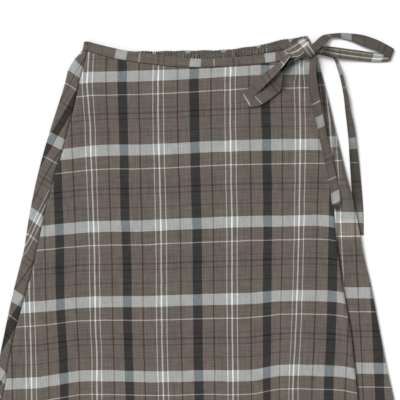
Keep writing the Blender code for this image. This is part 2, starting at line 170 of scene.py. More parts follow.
LOOP_RIGHT = (
    Section(163.8, 222.6, 10.0, 174.0, 213.2, 11.0),
    Section(170.9, 227.8, 8.4, 182.4, 221.8, 10.6),
    Section(181.2, 237.2, 4.2, 189.9, 229.1, 5.4),
    Section(190.5, 240.2, 2.4, 196.5, 234.4, 3.8),
    Section(209.0, 242.1, 1.6, 211.0, 233.6, 2.6),
    Section(226.6, 241.2, 1.6, 226.2, 229.3, 3.2),
    Section(243.3, 238.6, 2.4, 242.2, 222.3, 4.2),
    Section(261.7, 232.3, 3.6, 258.8, 216.6, 4.8),
    Section(275.5, 225.2, 4.2, 270.6, 211.4, 5.4),
    Section(284.6, 220.0, 4.0, 278.6, 206.4, 4.6),
    Section(286.7, 218.4, 2.6, 280.6, 202.8, 3.0),
    Section(284.0, 217.0, 1.2, 277.6, 200.4, 1.6),
    Section(271.1, 213.2, 1.0, 263.9, 199.7, 1.4),
    Section(257.1, 214.2, 0.8, 252.3, 200.1, 1.8),
    Section(234.9, 217.1, 0.8, 233.4, 202.0, 3.0),
    Section(215.5, 219.7, 1.0, 215.5, 204.0, 5.0),
    Section(198.7, 221.8, 2.5, 197.2, 206.8, 7.5),
    Section(187.8, 222.3, 6.4, 183.3, 210.3, 9.4),
    Section(174.0, 219.8, 9.4, 171.8, 212.0, 10.4),
)
TAIL_LEFT = (
    Section(164.5, 213.5, 2.9, 172.5, 211.5, 4.0),
    Section(165.0, 204.5, 2.4, 174.5, 203.5, 5.0),
    Section(164.3, 194.3, 1.8, 173.9, 194.3, 5.4),
    Section(163.6, 185.6, 1.7, 173.6, 185.6, 5.2),
    Section(163.2, 161.5, 1.6, 176.5, 161.5, 5.0),
    Section(167.5, 140.7, 1.5, 180.4, 140.7, 4.8),
    Section(171.5, 121.8, 1.5, 183.7, 121.8, 4.6),
    Section(176.3, 104.4, 1.5, 187.5, 104.4, 4.2),
    Section(179.2, 87.0, 1.5, 190.8, 87.0, 3.8),
    Section(187.0, 50.8, 1.6, 199.5, 50.8, 3.0),
    Section(194.3, 13.0, 1.7, 207.2, 13.0, 2.6),
    Section(196.3, -2.9, 1.7, 208.8, -2.9, 2.4),
    Section(198.5, -11.6, 1.7, 206.9, -11.6, 2.2),
)
TAIL_RIGHT = (
    Section(171.0, 216.0, 7.4, 174.0, 210.8, 7.4),
    Section(182.0, 215.2, 5.4, 181.2, 209.6, 5.4),
    Section(191.6, 212.8, 3.0, 192.8, 207.2, 3.6),
    Section(199.4, 205.6, 1.4, 203.6, 203.4, 4.6),
    Section(205.0, 189.9, 0.9, 209.0, 189.9, 7.5),
    Section(208.7, 178.3, 0.9, 212.7, 178.3, 7.5),
    Section(212.3, 161.5, 0.9, 216.7, 161.5, 7.0),
    Section(214.4, 147.9, 0.9, 220.4, 149.3, 6.5),
    Section(216.4, 129.0, 0.9, 223.4, 130.5, 6.0),
    Section(218.9, 107.3, 0.9, 228.4, 108.8, 5.0),
    Section(220.6, 90.5, 0.85, 231.2, 91.3, 4.5),
    Section(222.6, 58.0, 0.8, 235.6, 58.0, 3.0),
    Section(225.6, 14.5, 0.7, 240.2, 14.5, 1.2),
    Section(229.9, -17.4, 0.65, 242.6, -17.4, 0.8),
    Section(231.9, -49.3, 0.65, 243.1, -50.8, 0.65),
)


# Camera, light and floor

CAMERA_HEIGHT = 2.2
CAMERA_REACH = (0.05, 20.0)
VIEW_WIDTH = 0.580
SENSOR_WIDTH = 36.0
VIEW_CENTRE_X = 0.0058
CLOTH_LIGHT = 1.35
FILL_LIGHT = 0.62
KEY_COMPASS = (-0.72, 0.69)
KEY_DISTANCE = 3.0
KEY_HEIGHT_ANGLE = math.radians(42.0)
KEY_SOFTNESS = math.radians(28.0)
FLOOR_HALF = 4.0
FLOOR_GREY = 0.775


def show(name, data):
    """A new object, linked to the scene."""
    piece = bpy.data.objects.new(name, data)
    bpy.context.scene.collection.objects.link(piece)
    return piece


def new_material(name, settings):
    """A new material and its shader, whose inputs take the settings."""
    material = bpy.data.materials.new(name)
    material.use_nodes = True
    shader = material.node_tree.nodes["Principled BSDF"]
    for socket, value in settings.items():
        shader.inputs[socket].default_value = value
    return material, shader


def make_camera():
    data = bpy.data.cameras.new("camera_above")
    data.sensor_width = SENSOR_WIDTH
    data.lens = SENSOR_WIDTH * CAMERA_HEIGHT / VIEW_WIDTH
    data.clip_start, data.clip_end = CAMERA_REACH
    camera = show("camera_above", data)
    camera.location = (VIEW_CENTRE_X, 0.0, CAMERA_HEIGHT)
    bpy.context.scene.camera = camera


def make_light():
    """An even fill from all sides and one large soft lamp at the upper left."""
    world = bpy.data.worlds.new("studio_fill")
    world.use_nodes = True
    background = world.node_tree.nodes["Background"]
    background.inputs["Color"].default_value = (1.0, 1.0, 1.0, 1.0)
    background.inputs["Strength"].default_value = FILL_LIGHT
    bpy.context.scene.world = world
    key = bpy.data.lights.new("soft_key", "SUN")
    key.angle = KEY_SOFTNESS
    key.energy = (CLOTH_LIGHT - FILL_LIGHT) * math.pi / math.sin(KEY_HEIGHT_ANGLE)
    lamp = show("soft_key", key)
    reach = math.cos(KEY_HEIGHT_ANGLE)
    towards = Vector((KEY_COMPASS[0] * reach, KEY_COMPASS[1] * reach, math.sin(KEY_HEIGHT_ANGLE)))
    lamp.rotation_euler = towards.to_track_quat("Z", "Y").to_euler()
    lamp.location = towards * KEY_DISTANCE


def make_floor():
    mesh = bpy.data.meshes.new("floor")
    compass = ((-1, -1), (1, -1), (1, 1), (-1, 1))
    mesh.from_pydata([(x * FLOOR_HALF, y * FLOOR_HALF, 0.0) for x, y in compass], [], [(0, 1, 2, 3)])
    grey = (FLOOR_GREY, FLOOR_GREY, FLOOR_GREY, 1.0)
    paint = {"Base Color": grey, "Roughness": 0.95, "Specular IOR Level": 0.1}
    mesh.materials.append(new_material("pale_floor", paint)[0])
    show("floor", mesh)


make_camera()
make_light()
make_floor()
bpy.context.scene.view_settings.view_transform = "Standard"


# Curves and the heights of the layers, as in the solids


def smooth(x, start, end):
    """0 at start, 1 at end, eased at both."""
    t = min(1.0, max(0.0, (x - start) / (end - start)))
    return t * t * (3 - 2 * t)


def within(x, start, full, full_to, end):
    """0 outside start and end, 1 from full to full_to, eased between."""
    return smooth(x, start, full) * smooth(x, end, full_to)


def bell(away, width):
    """1 in the middle, dying away at both sides."""
    return math.exp(-0.5 * (away / width) ** 2)


# One wave in the unevenness of gathers, by the way along and down a piece
Ripple = namedtuple("Ripple", "height along down start")


def rippled(ripples, along, down=0.0):
    return sum(row.height * math.sin(row.along * along + row.down * down + row.start) for row in ripples)


def shares(count):
    """Even shares from 0 to 1."""
    return [k / (count - 1) for k in range(count)]


def closer_shares(count, crowd):
    """Shares from 0 to 1 that lie closer near 0."""
    return [share ** crowd for share in shares(count)]


def smooth_curve(knots):
    """A smooth function through (position, value) pairs sorted by position, straight past its ends."""
    count = len(knots)
    chords = [
        (knots[i + 1][1] - knots[i][1]) / (knots[i + 1][0] - knots[i][0])
        for i in range(count - 1)
    ]
    slopes = [chords[0]]
    slopes += [(chords[i - 1] + chords[i]) / 2 for i in range(1, count - 1)]
    slopes += [chords[-1]]

    def value(x):
        if x <= knots[0][0]:
            return knots[0][1] + slopes[0] * (x - knots[0][0])
        if x >= knots[-1][0]:
            return knots[-1][1] + slopes[-1] * (x - knots[-1][0])
        i = 0
        while x > knots[i + 1][0]:
            i += 1
        x0, y0 = knots[i]
        x1, y1 = knots[i + 1]
        span = x1 - x0
        t = (x - x0) / span
        ease = t * t * (3 - 2 * t)
        lead = span * t * (1 - t) ** 2 * slopes[i]
        trail = span * t * t * (t - 1) * slopes[i + 1]
        return y0 + (y1 - y0) * ease + lead + trail

    return value


def column(table, key, name):
    """The curve of one named column of a table against another."""
    pairs = sorted((getattr(row, key), getattr(row, name)) for row in table)
    return smooth_curve(pairs)


left_fold = column(OUTLINE, "y", "left_fold")
left_seam = column(OUTLINE, "y", "left_seam")
over_edge = column(OUTLINE, "y", "over_edge")
right_fold = column(OUTLINE, "y", "right_fold")
front_top = column(WAIST, "x", "front_top")
front_bottom = column(WAIST, "x", "front_bottom")
under_bottom = column(WAIST, "x", "under_bottom")
back_top = column(WAIST, "x", "back_top")


# How far the free edge of the over panel wanders from the line of the solids, as measured
free_edge_wander = smooth_curve(
    (
        (-625.0, 2.0), (-290.0, 2.0), (-258.0, 1.3), (-228.0, 0.9), (-189.0, 1.1), (-160.0, -0.2),
        (-141.0, -1.2), (-120.0, -2.1), (-90.0, -2.9), (-72.0, -3.1), (-50.0, -2.5), (-13.0, -1.6),
        (20.0, 0.0), (240.0, 0.0),
    )
)
FREE_EDGE_STAND = 1.8
FREE_EDGE_STAND_REACH = (20.0, 2.0)
FREE_EDGE_STAND_Y = (0.0, -50.0)


def free_edge(y):
    return over_edge(y) + free_edge_wander(y)


# The left seam and the left fold wander too, as measured
seam_wander = smooth_curve(
    (
        (-625.0, 0.5), (-319.0, 0.8), (-283.0, 1.4), (-264.0, 2.0), (-249.0, 1.2), (-233.0, 0.0),
        (-200.0, 0.0), (-175.0, 0.5), (-157.0, 1.4), (-139.0, 0.9), (-114.5, 2.3), (-87.0, 2.0),
        (-72.5, 1.2), (-54.0, 0.9), (-22.0, 0.3), (20.0, 0.0), (51.0, 0.0), (61.0, 1.0), (72.5, 1.9),
        (87.0, 1.4), (101.0, 1.2), (123.0, 1.8), (130.0, 1.9), (149.0, 1.5), (161.0, 1.3), (177.0, 0.0),
        (240.0, 0.0),
    )
)
fold_wander = smooth_curve(
    (
        (-625.0, 0.0), (-165.0, 0.0), (-138.0, -0.4), (-116.0, 0.0), (-100.0, 0.4), (-85.0, 1.2),
        (-72.0, 1.9), (-62.0, 1.6), (-45.0, 1.0), (-29.0, 0.5), (0.0, 0.4), (65.0, 0.3), (116.0, 0.6),
        (145.0, 0.4), (166.0, 0.2), (178.0, -0.5), (188.0, -1.9), (205.0, -1.7), (214.0, -0.8),
        (240.0, 0.0),
    )
)


def shown_seam(y):
    return left_seam(y) + seam_wander(y)


# The under panel is cut as the over panel's mirror, and its free edge keeps clear of the left seam
UNDER_CLEAR_OF_SEAM = 13.0


def under_edge(y):
    return max(left_fold(y) + right_fold(y) - over_edge(y), left_seam(y) + UNDER_CLEAR_OF_SEAM)


def back_bottom(x):
    return back_top(x) - BAND_HEIGHT


def hem(x):
    return HEM_MIDDLE_Y + HEM_SIDE_LIFT * (x / HEM_HALF_WIDTH) ** 2


def waist_rise(y):
    return WAIST_RISE * smooth(y, RISE_FROM_Y, RISE_TO_Y)


def tail_lift(x, y, layer):
    spread = layer * TAIL_LIFT_SPREAD
    top = TAIL_LIFT_Y[0] + spread
    bottom = TAIL_LIFT_Y[1] - spread
    along = within(y, bottom - TAIL_LIFT_FADE, bottom, top, top + TAIL_LIFT_FADE)
    reach = TAIL_LIFT_REACH + spread
    across = smooth(right_fold(y) - x, reach + TAIL_LIFT_FADE, reach)
    return TAIL_LIFT * along * across


def over_height(x, y):
    return OVER_MID + OVER_RISE_SHARE * waist_rise(y) + tail_lift(x, y, 2)


# How far from the right edge the under panel has come up from the back panel
UNDER_SLOPE = (1.0, 17.0)


def under_height(x, y):
    risen = smooth(right_fold(y) - x, *UNDER_SLOPE)
    return UNDER_MID + waist_rise(y) * risen + tail_lift(x, y, 1)


def on_waist(x):
    return min(max(x, WAIST_ENDS[0]), WAIST_ENDS[1])


PLACING_ROUNDS = 6


def down_the_panel(across, top, low, share):
    """The point of a panel at a share of its way down, on the line that across gives."""
    y = low(0.0)
    for _ in range(PLACING_ROUNDS):
        x = across(y)
        start = top(on_waist(x))
        y = start + share * (low(x) - start)
    return x, y


# Where the check's lines run, in the photograph's pixels, counted right and down from its corner. The marks
# were read off it by eye and then corrected by what was measured, line by line, in it and in a render

PIXEL_SIZE = 1.45
PIXEL_CENTRE = (196.0, 200.0)
REPEAT_ACROSS = 72.0
REPEAT_DOWN = 75.4


def pixel_place(x, y):
    return PIXEL_CENTRE[0] + x / PIXEL_SIZE, PIXEL_CENTRE[1] - y / PIXEL_SIZE


# Lengthwise lines of the over panel: whole repeats are the white threes, halves the black bars
OVER_LENGTHWISE = (
    (0.0, ((293, 29.7), (333, 30.8), (369, 31.7), (388, 31.9), (627, 35.5))),
    (0.5, (
        (136, 56.2), (215, 58.9), (254, 59.9), (275, 59.8), (293, 60.0), (312, 60.5), (330, 61.8),
        (350, 63.0), (369, 63.8), (388, 64.4), (627, 69.5),
    )),
    (1.0, (
        (54, 88.7), (76, 87.3), (97, 88.1), (106, 88.9), (120, 90.0), (136, 90.6), (160, 91.3),
        (176, 92.1), (200, 92.9), (215, 93.4), (235, 94.1), (255, 94.7), (275, 94.9), (293, 95.2),
        (312, 95.5), (330, 95.8), (350, 97.0), (390, 97.1), (627, 103.5),
    )),
    (1.5, (
        (88, 122.4), (112, 122.9), (125, 123.4), (160, 124.2), (180, 124.3), (200, 124.6), (235, 125.8),
        (255, 126.8), (275, 127.2), (312, 127.4), (330, 127.7), (350, 128.3), (390, 129.9), (627, 137.2),
    )),
    (2.0, (
        (88, 158.1), (125, 158.3), (160, 159.2), (180, 159.8), (200, 160.3), (235, 161.1), (275, 161.3),
        (312, 161.6), (350, 162.2), (390, 163.3), (627, 171.0),
    )),
    (2.5, (
        (88, 194.1), (125, 194.6), (160, 195.2), (180, 195.7), (200, 196.3), (235, 197.3), (275, 197.5),
        (312, 197.9), (350, 198.3), (390, 199.1), (627, 205.5),
    )),
    (3.0, (
        (88, 230.1), (125, 230.2), (160, 230.8), (180, 231.0), (200, 231.5), (235, 231.9), (275, 231.9),
        (330, 232.2), (350, 232.5), (390, 232.9), (627, 237.2),
    )),
    (3.5, (
        (88, 265.0), (112, 265.7), (125, 266.4), (160, 267.0), (180, 267.4), (200, 267.8), (235, 268.0),
        (255, 267.8), (275, 267.6), (312, 267.4), (330, 267.4), (390, 267.4), (627, 269.5),
    )),
    (4.0, ((88, 299.2), (136, 300.1), (176, 299.6), (254, 298.0), (333, 295.2), (388, 292.5), (627, 299.2))),
    (4.5, (
        (88, 334.4), (136, 335.0), (176, 334.0), (254, 332.4), (275, 332.2), (312, 331.5), (330, 331.0),
        (350, 330.2), (390, 328.4), (627, 334.5),
    )),
)
# Crosswise light bars of the over panel, from the waist down
OVER_CROSSWISE = (
    (
        (44, 81.9), (64, 80.4), (90, 77.5), (110, 77.1), (140, 76.2), (178, 74.6), (210, 72.6),
        (242, 70.6), (255, 69.9), (297, 69.4), (324, 68.5),
    ),
    (
        (44, 156.4), (64, 154.4), (77, 152.8), (90, 151.3), (110, 150.1), (132, 150.0), (147, 149.8),
        (178, 148.5), (210, 146.7), (242, 145.7), (255, 145.3), (282, 144.7), (324, 144.6),
    ),
    (
        (6, 233.0), (44, 231.0), (64, 229.0), (77, 227.8), (90, 226.9), (110, 226.2), (132, 226.1),
        (147, 225.7), (178, 224.1), (210, 222.9), (242, 221.6), (255, 221.4), (282, 221.2), (324, 220.6),
        (335, 222.2),
    ),
    (
        (6, 308.8), (30, 307.1), (44, 306.1), (52, 305.3), (64, 303.9), (77, 302.8), (90, 302.0),
        (110, 301.6), (147, 301.4), (178, 300.3), (208, 299.4), (242, 298.5), (255, 297.9), (280, 295.7),
        (324, 295.7), (336, 296.4), (345, 298.2),
    ),
    (
        (6, 383.9), (20, 383.2), (30, 382.8), (44, 381.8), (52, 380.2), (64, 378.2), (77, 376.0),
        (106, 375.4), (147, 376.3), (178, 376.1), (208, 375.2), (242, 375.5), (255, 374.6), (280, 370.1),
        (324, 370.4), (336, 370.8), (346, 371.8), (354, 373.4),
    ),
)
# How far above the first bar the one that the waistband hides would be, far where the knot pulls the cloth up
over_first_gap = smooth_curve(
    (
        (90, 72.0), (150, 70.0), (180, 65.0), (210, 51.0), (255, 54.0), (284, 58.0), (290, 70.0),
        (295, 100.0), (300, 138.0), (305, 162.0), (312, 165.0),
    )
)
over_lengthwise = [(repeat, smooth_curve(pairs)) for repeat, pairs in OVER_LENGTHWISE]
over_crosswise = [smooth_curve(pairs) for pairs in OVER_CROSSWISE]


def between_marks(place, marks, spacing):
    """The repeat at a place among (place, repeat) marks, going on by spacing past the ends."""
    if place <= marks[0][0]:
        return marks[0][1] + (place - marks[0][0]) / spacing
    for (low, low_repeat), (high, high_repeat) in zip(marks, marks[1:]):
        if place <= high:
            return low_repeat + (high_repeat - low_repeat) * (place - low) / (high - low)
    return marks[-1][1] + (place - marks[-1][0]) / spacing


# Below the knot, between these two places down, the white three by the free edge closes up
KNOT_REPEAT = 4.0
KNOT_DRAWN = (84.0, 72.0)
KNOT_SHIFT = 0.007
KNOT_SQUEEZE = 0.38
KNOT_SQUEEZE_FADE = (0.25, 0.10)


def over_check(x, y):
    right, down = pixel_place(x, y)
    lengthwise = [(line(down), repeat) for repeat, line in over_lengthwise]
    crosswise = [(bar(right), count) for count, bar in enumerate(over_crosswise)]
    crosswise.insert(0, (crosswise[0][0] - over_first_gap(right), -1))
    across = between_marks(right, lengthwise, REPEAT_ACROSS)
    drawn = smooth(down, *KNOT_DRAWN)
    away = across - KNOT_REPEAT - KNOT_SHIFT * drawn
    across = KNOT_REPEAT + away * (1 + KNOT_SQUEEZE * drawn * smooth(abs(away), *KNOT_SQUEEZE_FADE))
    return across, between_marks(down, crosswise, REPEAT_DOWN)


under_centre = smooth_curve(
    (
        (97, 326.6), (122, 329.4), (176, 333.0), (240, 336.0), (293, 338.6), (333, 340.9), (388, 343.4),
        (627, 354.0),
    )
)
UNDER_FIRST_BAR = 66.5


def under_check(x, y):
    right, down = pixel_place(x, y)
    return (right - under_centre(down)) / REPEAT_ACROSS, (down - UNDER_FIRST_BAR) / REPEAT_DOWN


# On the part that is folded to the front: repeats at the seam and at the fold, by the way down
seam_lengthwise = smooth_curve(((60, 0.30), (97, 0.5), (200, 1.0), (259, 1.268), (310, 1.5), (627, 2.6)))
fold_lengthwise = smooth_curve(
    (
        (60, 0.10), (152, 0.5), (205, 0.75), (234.6, 0.926), (245, 1.0), (255.5, 1.074), (288, 1.268),
        (336, 1.5), (627, 2.5),
    )
)
seam_crosswise = ((73.3, 0.0), (145.0, 1.0), (222.0, 2.0), (302.0, 3.0), (379.0, 4.0))
fold_crosswise = ((66.0, 0.0), (137.5, 1.0), (213.0, 2.0), (296.0, 3.0), (371.0, 4.0))


def folded_check(along, y):
    """The check between the fold, along 0, and the left seam, along 1."""
    down = PIXEL_CENTRE[1] - y / PIXEL_SIZE
    lengthwise = fold_lengthwise(down) + along * (seam_lengthwise(down) - fold_lengthwise(down))
    at_fold = between_marks(down, fold_crosswise, REPEAT_DOWN)
    at_seam = between_marks(down, seam_crosswise, REPEAT_DOWN)
    return lengthwise, at_fold + along * (at_seam - at_fold)


# The underside holds more repeats across towards the elastic: this many times the hem's, from low to high
BACK_FULLNESS = 2.1
BACK_FULLNESS_Y = (-420.0, 210.0)


def back_check(x, y):
    lengthwise, crosswise = folded_check(0.0, y)
    fullness = 1.0 + (BACK_FULLNESS - 1.0) * smooth(y, *BACK_FULLNESS_Y)
    away = (x - left_fold(y)) / PIXEL_SIZE
    return lengthwise - fullness * away / REPEAT_ACROSS, crosswise


# Materials

# Yarns in a repeat, and how far they stand out
YARNS_ACROSS = 232.0
YARNS_DOWN = 243.0
YARN_RELIEF = 0.00012
# The weft's share of what shows, and how far it swings from yarn to yarn and with the streaks
WEFT_SHARE = 0.44
WEFT_SWING = 0.26
WEFT_STREAK_SWING = 0.06
WHITE_YARN = (252, 250, 246)
LIGHT_YARN = (242, 254, 255)
BLACK_YARN = (15, 19, 21)
THIN_BLACK_YARN = (36, 28, 23)
DARK_WEFT = (58, 53, 49)
THREAD = (92, 84, 78)
THREAD_TONES = (0.8, 1.1)
THREAD_TWISTS = 1400.0
DISPLAY_GAMMA = 2.2

# Coloured yarns on the ground: their place and half width in repeats, and how far they cover it
Yarns = namedtuple("Yarns", "place half strength colour")
# The warp mirrors at each white three and each black bar
WARP_YARNS = (
    Yarns(0.0736, 0.0060, 0.85, WHITE_YARN),
    Yarns(0.0, 0.0105, 0.92, WHITE_YARN),
    Yarns(0.268, 0.0095, 0.90, THIN_BLACK_YARN),
    Yarns(0.5, 0.0660, 1.00, BLACK_YARN),
)
WEFT_YARNS = (
    Yarns(0.431, 0.0055, 0.60, DARK_WEFT),
    Yarns(0.504, 0.0115, 1.00, DARK_WEFT),
    Yarns(0.580, 0.0075, 0.90, DARK_WEFT),
    Yarns(0.756, 0.0075, 0.75, DARK_WEFT),
    Yarns(0.249, 0.0066, 1.00, WHITE_YARN),
)
LIGHT_BAR = (Yarns(0.0, 0.0740, 1.00, LIGHT_YARN),)
YARN_EDGE = 0.0035

# The ground: its two browns, where in the repeat the second lies, how finely it is streaked each way
Ground = namedtuple("Ground", "brown second_brown place half edge streaks")
WARP_GROUND = Ground((102, 96, 89), (106, 97, 91), 0.39, 0.13, 0.05, (62.0, 3.0))
WEFT_GROUND = Ground((103, 96, 90), (102, 93, 89), 0.5, 0.2, 0.12, (3.0, 62.0))
GROUND_STREAK = 0.40
YARN_WANDER = 0.010
# The ground dye at its greenest and its reddest, and the part of the drift between them that shows
PANEL_DYES = ((0.982, 1.000, 0.985, 1.0), (1.018, 0.994, 0.998, 1.0))
TIE_DYES = ((0.955, 0.985, 0.962, 1.0), (0.998, 0.995, 0.985, 1.0))
DYE_DRIFT = (0.36, 0.64)
# Scale and detail of the noise in the yarns' course, the dye, the streaks and the mottle
WANDER_NOISE = (5.0, 2.0)
DYE_NOISE = (1.9, 1.0)
STREAK_NOISE = (1.0, 3.0)
MOTTLE_NOISE = (9.0, 3.0)
# How much light follows the streaks and the mottle, and the light without them
SLUB_LIGHT = (0.12, 0.88)
MOTTLE_LIGHT = (0.08, 0.96)
SLUB_HEIGHT = 0.6

NODE_SPACING = (180, 220)
NODES_IN_A_ROW = 12


def display(colour):
    """A colour as it shows, 0 to 1."""
    return tuple(part / 255.0 for part in colour) + (1.0,)


class Nodes:
    """A few words for building a node tree."""

    def __init__(self, tree):
        self.tree = tree
        self.count = 0

    def add(self, kind, inputs=None, **settings):
        """A node with its settings, and with sockets or values for its inputs."""
        node = self.tree.nodes.new(kind)
        row, place = divmod(self.count, NODES_IN_A_ROW)
        node.location = (NODE_SPACING[0] * place, -NODE_SPACING[1] * row)
        self.count += 1
        for name, value in settings.items():
            setattr(node, name, value)
        for name, value in (inputs or {}).items():
            self.feed(node.inputs[name], value)
        return node

    def feed(self, socket, value):
        if hasattr(value, "is_linked"):
            self.tree.links.new(value, socket)
        else:
            socket.default_value = value

    def calc(self, operation, *values):
        node = self.add("ShaderNodeMath", operation=operation)
        for socket, value in zip(node.inputs, values):
            self.feed(socket, value)
        return node.outputs[0]

    def mix(self, share, first, second, blend="MIX"):
        inputs = {"Factor": share, "A": first, "B": second}
        return self.add("ShaderNodeMix", inputs, data_type="RGBA", blend_type=blend).outputs["Result"]

    def shade(self, colour, light):
        """The colour times a grey."""
        grey = self.add("ShaderNodeCombineColor", {"Red": light, "Green": light, "Blue": light})
        return self.mix(1.0, colour, grey.outputs[0], "MULTIPLY")

    def noise(self, x, y, scale, detail):
        place = self.add("ShaderNodeCombineXYZ", {"X": x, "Y": y}).outputs[0]
        inputs = {"Vector": place, "Scale": scale, "Detail": detail}
        return self.add("ShaderNodeTexNoise", inputs, noise_dimensions="2D").outputs[0]

    def stripe(self, place, centre, half, edge=YARN_EDGE):
        """1 within half of centre, 0 outside, with a soft edge."""
        away = self.calc("ABSOLUTE", self.calc("SUBTRACT", place, centre))
        ends = {"From Min": half - edge, "From Max": half + edge, "To Min": 1.0, "To Max": 0.0}
        inputs = {"Value": away, **ends}
        return self.add("ShaderNodeMapRange", inputs, interpolation_type="SMOOTHSTEP").outputs["Result"]

    def ground(self, u, v, place, ground, dye):
        """The ground of the warp or the weft, and its streaks."""
        second = self.stripe(place, ground.place, ground.half, ground.edge)
        brown = self.mix(second, display(ground.brown), display(ground.second_brown))
        along, across = ground.streaks
        streaks = self.noise(self.calc("MULTIPLY", u, along), self.calc("MULTIPLY", v, across), *STREAK_NOISE)
        light = self.calc("MULTIPLY_ADD", streaks, GROUND_STREAK, 1 - GROUND_STREAK / 2)
        return self.mix(1.0, self.shade(brown, light), dye, "MULTIPLY"), streaks

    def lay(self, cloth, place, yarns):
        """Coloured yarns over the cloth, each at its place in the repeat."""
        for row in yarns:
            share = self.calc("MULTIPLY", self.stripe(place, row.place, row.half), row.strength)
            cloth = self.mix(share, cloth, display(row.colour))
        return cloth


def check_cloth(name, tone, roughness, dyes):
    """Yarn-dyed check, read from the piece's own chart of repeats."""
    nap = {"Roughness": roughness, "Specular IOR Level": 0.18, "Sheen Weight": 0.05, "Sheen Roughness": 0.6}
    material, shader = new_material(name, nap)
    make = Nodes(material.node_tree)
    chart = make.add("ShaderNodeUVMap", uv_map="check_chart").outputs[0]
    raw_u, raw_v, _ = make.add("ShaderNodeSeparateXYZ", {"Vector": chart}).outputs

    # Yarns wander a little from their straight course
    wander_u = make.calc("SUBTRACT", make.noise(raw_u, raw_v, *WANDER_NOISE), 0.5)
    wander_v = make.calc("SUBTRACT", make.noise(raw_v, raw_u, *WANDER_NOISE), 0.5)
    u = make.calc("MULTIPLY_ADD", wander_u, YARN_WANDER, raw_u)
    v = make.calc("MULTIPLY_ADD", wander_v, YARN_WANDER, raw_v)

    # The ground dye drifts slowly between a greener and a redder brown
    drift = make.noise(raw_u, raw_v, *DYE_NOISE)
    shown_drift = {"Value": drift, "From Min": DYE_DRIFT[0], "From Max": DYE_DRIFT[1]}
    dye = make.mix(make.add("ShaderNodeMapRange", shown_drift).outputs["Result"], *dyes)

    # The warp's repeat mirrors itself. The weft's doesn't, and its light bar lies across the repeat's ends
    warp_place = make.calc("PINGPONG", u, 0.5)
    weft_place = make.calc("FRACT", v)
    warp, warp_streaks = make.ground(u, v, warp_place, WARP_GROUND, dye)
    weft, weft_streaks = make.ground(u, v, weft_place, WEFT_GROUND, dye)
    warp = make.lay(warp, warp_place, WARP_YARNS)
    weft = make.lay(weft, weft_place, WEFT_YARNS)
    weft = make.lay(weft, make.calc("PINGPONG", v, 0.5), LIGHT_BAR)

    # Plain weave: warp and weft change places at every yarn
    yarn_u = make.calc("SINE", make.calc("MULTIPLY", raw_u, math.pi * YARNS_ACROSS))
    yarn_v = make.calc("SINE", make.calc("MULTIPLY", raw_v, math.pi * YARNS_DOWN))
    crossing = make.calc("MULTIPLY", yarn_u, yarn_v)
    share = make.calc("MULTIPLY_ADD", crossing, WEFT_SWING, WEFT_SHARE)
    streak_shift = make.calc("SUBTRACT", warp_streaks, weft_streaks)
    share = make.calc("MULTIPLY_ADD", streak_shift, WEFT_STREAK_SWING, share)
    cloth = make.mix(share, warp, weft)

    # Slubs and a faint worn mottle
    streaks = make.calc("ADD", warp_streaks, weft_streaks)
    slub = make.calc("MULTIPLY_ADD", streaks, *SLUB_LIGHT)
    mottle = make.calc("MULTIPLY_ADD", make.noise(raw_u, raw_v, *MOTTLE_NOISE), *MOTTLE_LIGHT)
    shown = make.shade(cloth, make.calc("MULTIPLY", make.calc("MULTIPLY", slub, mottle), tone))

    # Painted shade: the shade that each point carries darkens the colour where the cloth lies in shade, and
    # where it is below 0 paints the colour paler
    fold = make.add("ShaderNodeAttribute", attribute_name="painted_shade").outputs["Fac"]
    shown = make.shade(shown, make.calc("SUBTRACT", 1.0, fold))
    painted = make.add("ShaderNodeGamma", {"Color": shown, "Gamma": DISPLAY_GAMMA}).outputs[0]
    lit = 1.0 / CLOTH_LIGHT
    make.feed(shader.inputs["Base Color"], make.mix(1.0, painted, (lit, lit, lit, 1.0), "MULTIPLY"))

    height = make.calc("MULTIPLY_ADD", streaks, SLUB_HEIGHT, make.calc("ABSOLUTE", crossing))
    bump = make.add("ShaderNodeBump", {"Strength": 0.55, "Distance": YARN_RELIEF, "Height": height})
    make.feed(shader.inputs["Normal"], bump.outputs[0])
    return material


def thread_material():
    """Sewing thread, twisted."""
    material, shader = new_material("sewing_thread", {"Roughness": 0.7})
    make = Nodes(material.node_tree)
    place = make.add("ShaderNodeTexCoord").outputs["Object"]
    winding = {"Vector": place, "Scale": THREAD_TWISTS}
    wave = make.add("ShaderNodeTexWave", winding, wave_type="BANDS", bands_direction="DIAGONAL")
    twist = wave.outputs["Fac"]
    dark, pale = (
        tuple((part * tone) ** DISPLAY_GAMMA / CLOTH_LIGHT for part in display(THREAD)[:3]) + (1.0,)
        for tone in THREAD_TONES
    )
    make.feed(shader.inputs["Base Color"], make.mix(twist, dark, pale))
    bump = make.add("ShaderNodeBump", {"Strength": 0.4, "Distance": 0.0001, "Height": twist})
    make.feed(shader.inputs["Normal"], bump.outputs[0])
    return material


panel_cloth = check_cloth("check_cloth_panels", 1.0, 0.92, PANEL_DYES)
tie_cloth = check_cloth("check_cloth_ties", 0.97, 0.9, TIE_DYES)
thread = thread_material()


# Making cloth from a grid of points


# The check breaks off at a gather where one face would hold more of a repeat than this
CHART_BREAK = 0.3
# How far the painted shade goes: 0 is open cloth and 1 is black. Below 0 the colour is painted paler: painted
# light where the cloth is raised, a paler edge on a tie and a paler elastic band
MOST_LIGHTENED = -0.7
DARKEST_PAINTED_SHADE = 0.85
# A point of cloth in millimetres, its check in repeats and its painted shade. Where the face that ends at
# the point has another check than the face that starts there, end_check is the first one's
Spot = namedtuple("Spot", "point check shade end_check", defaults=(0.0, None))


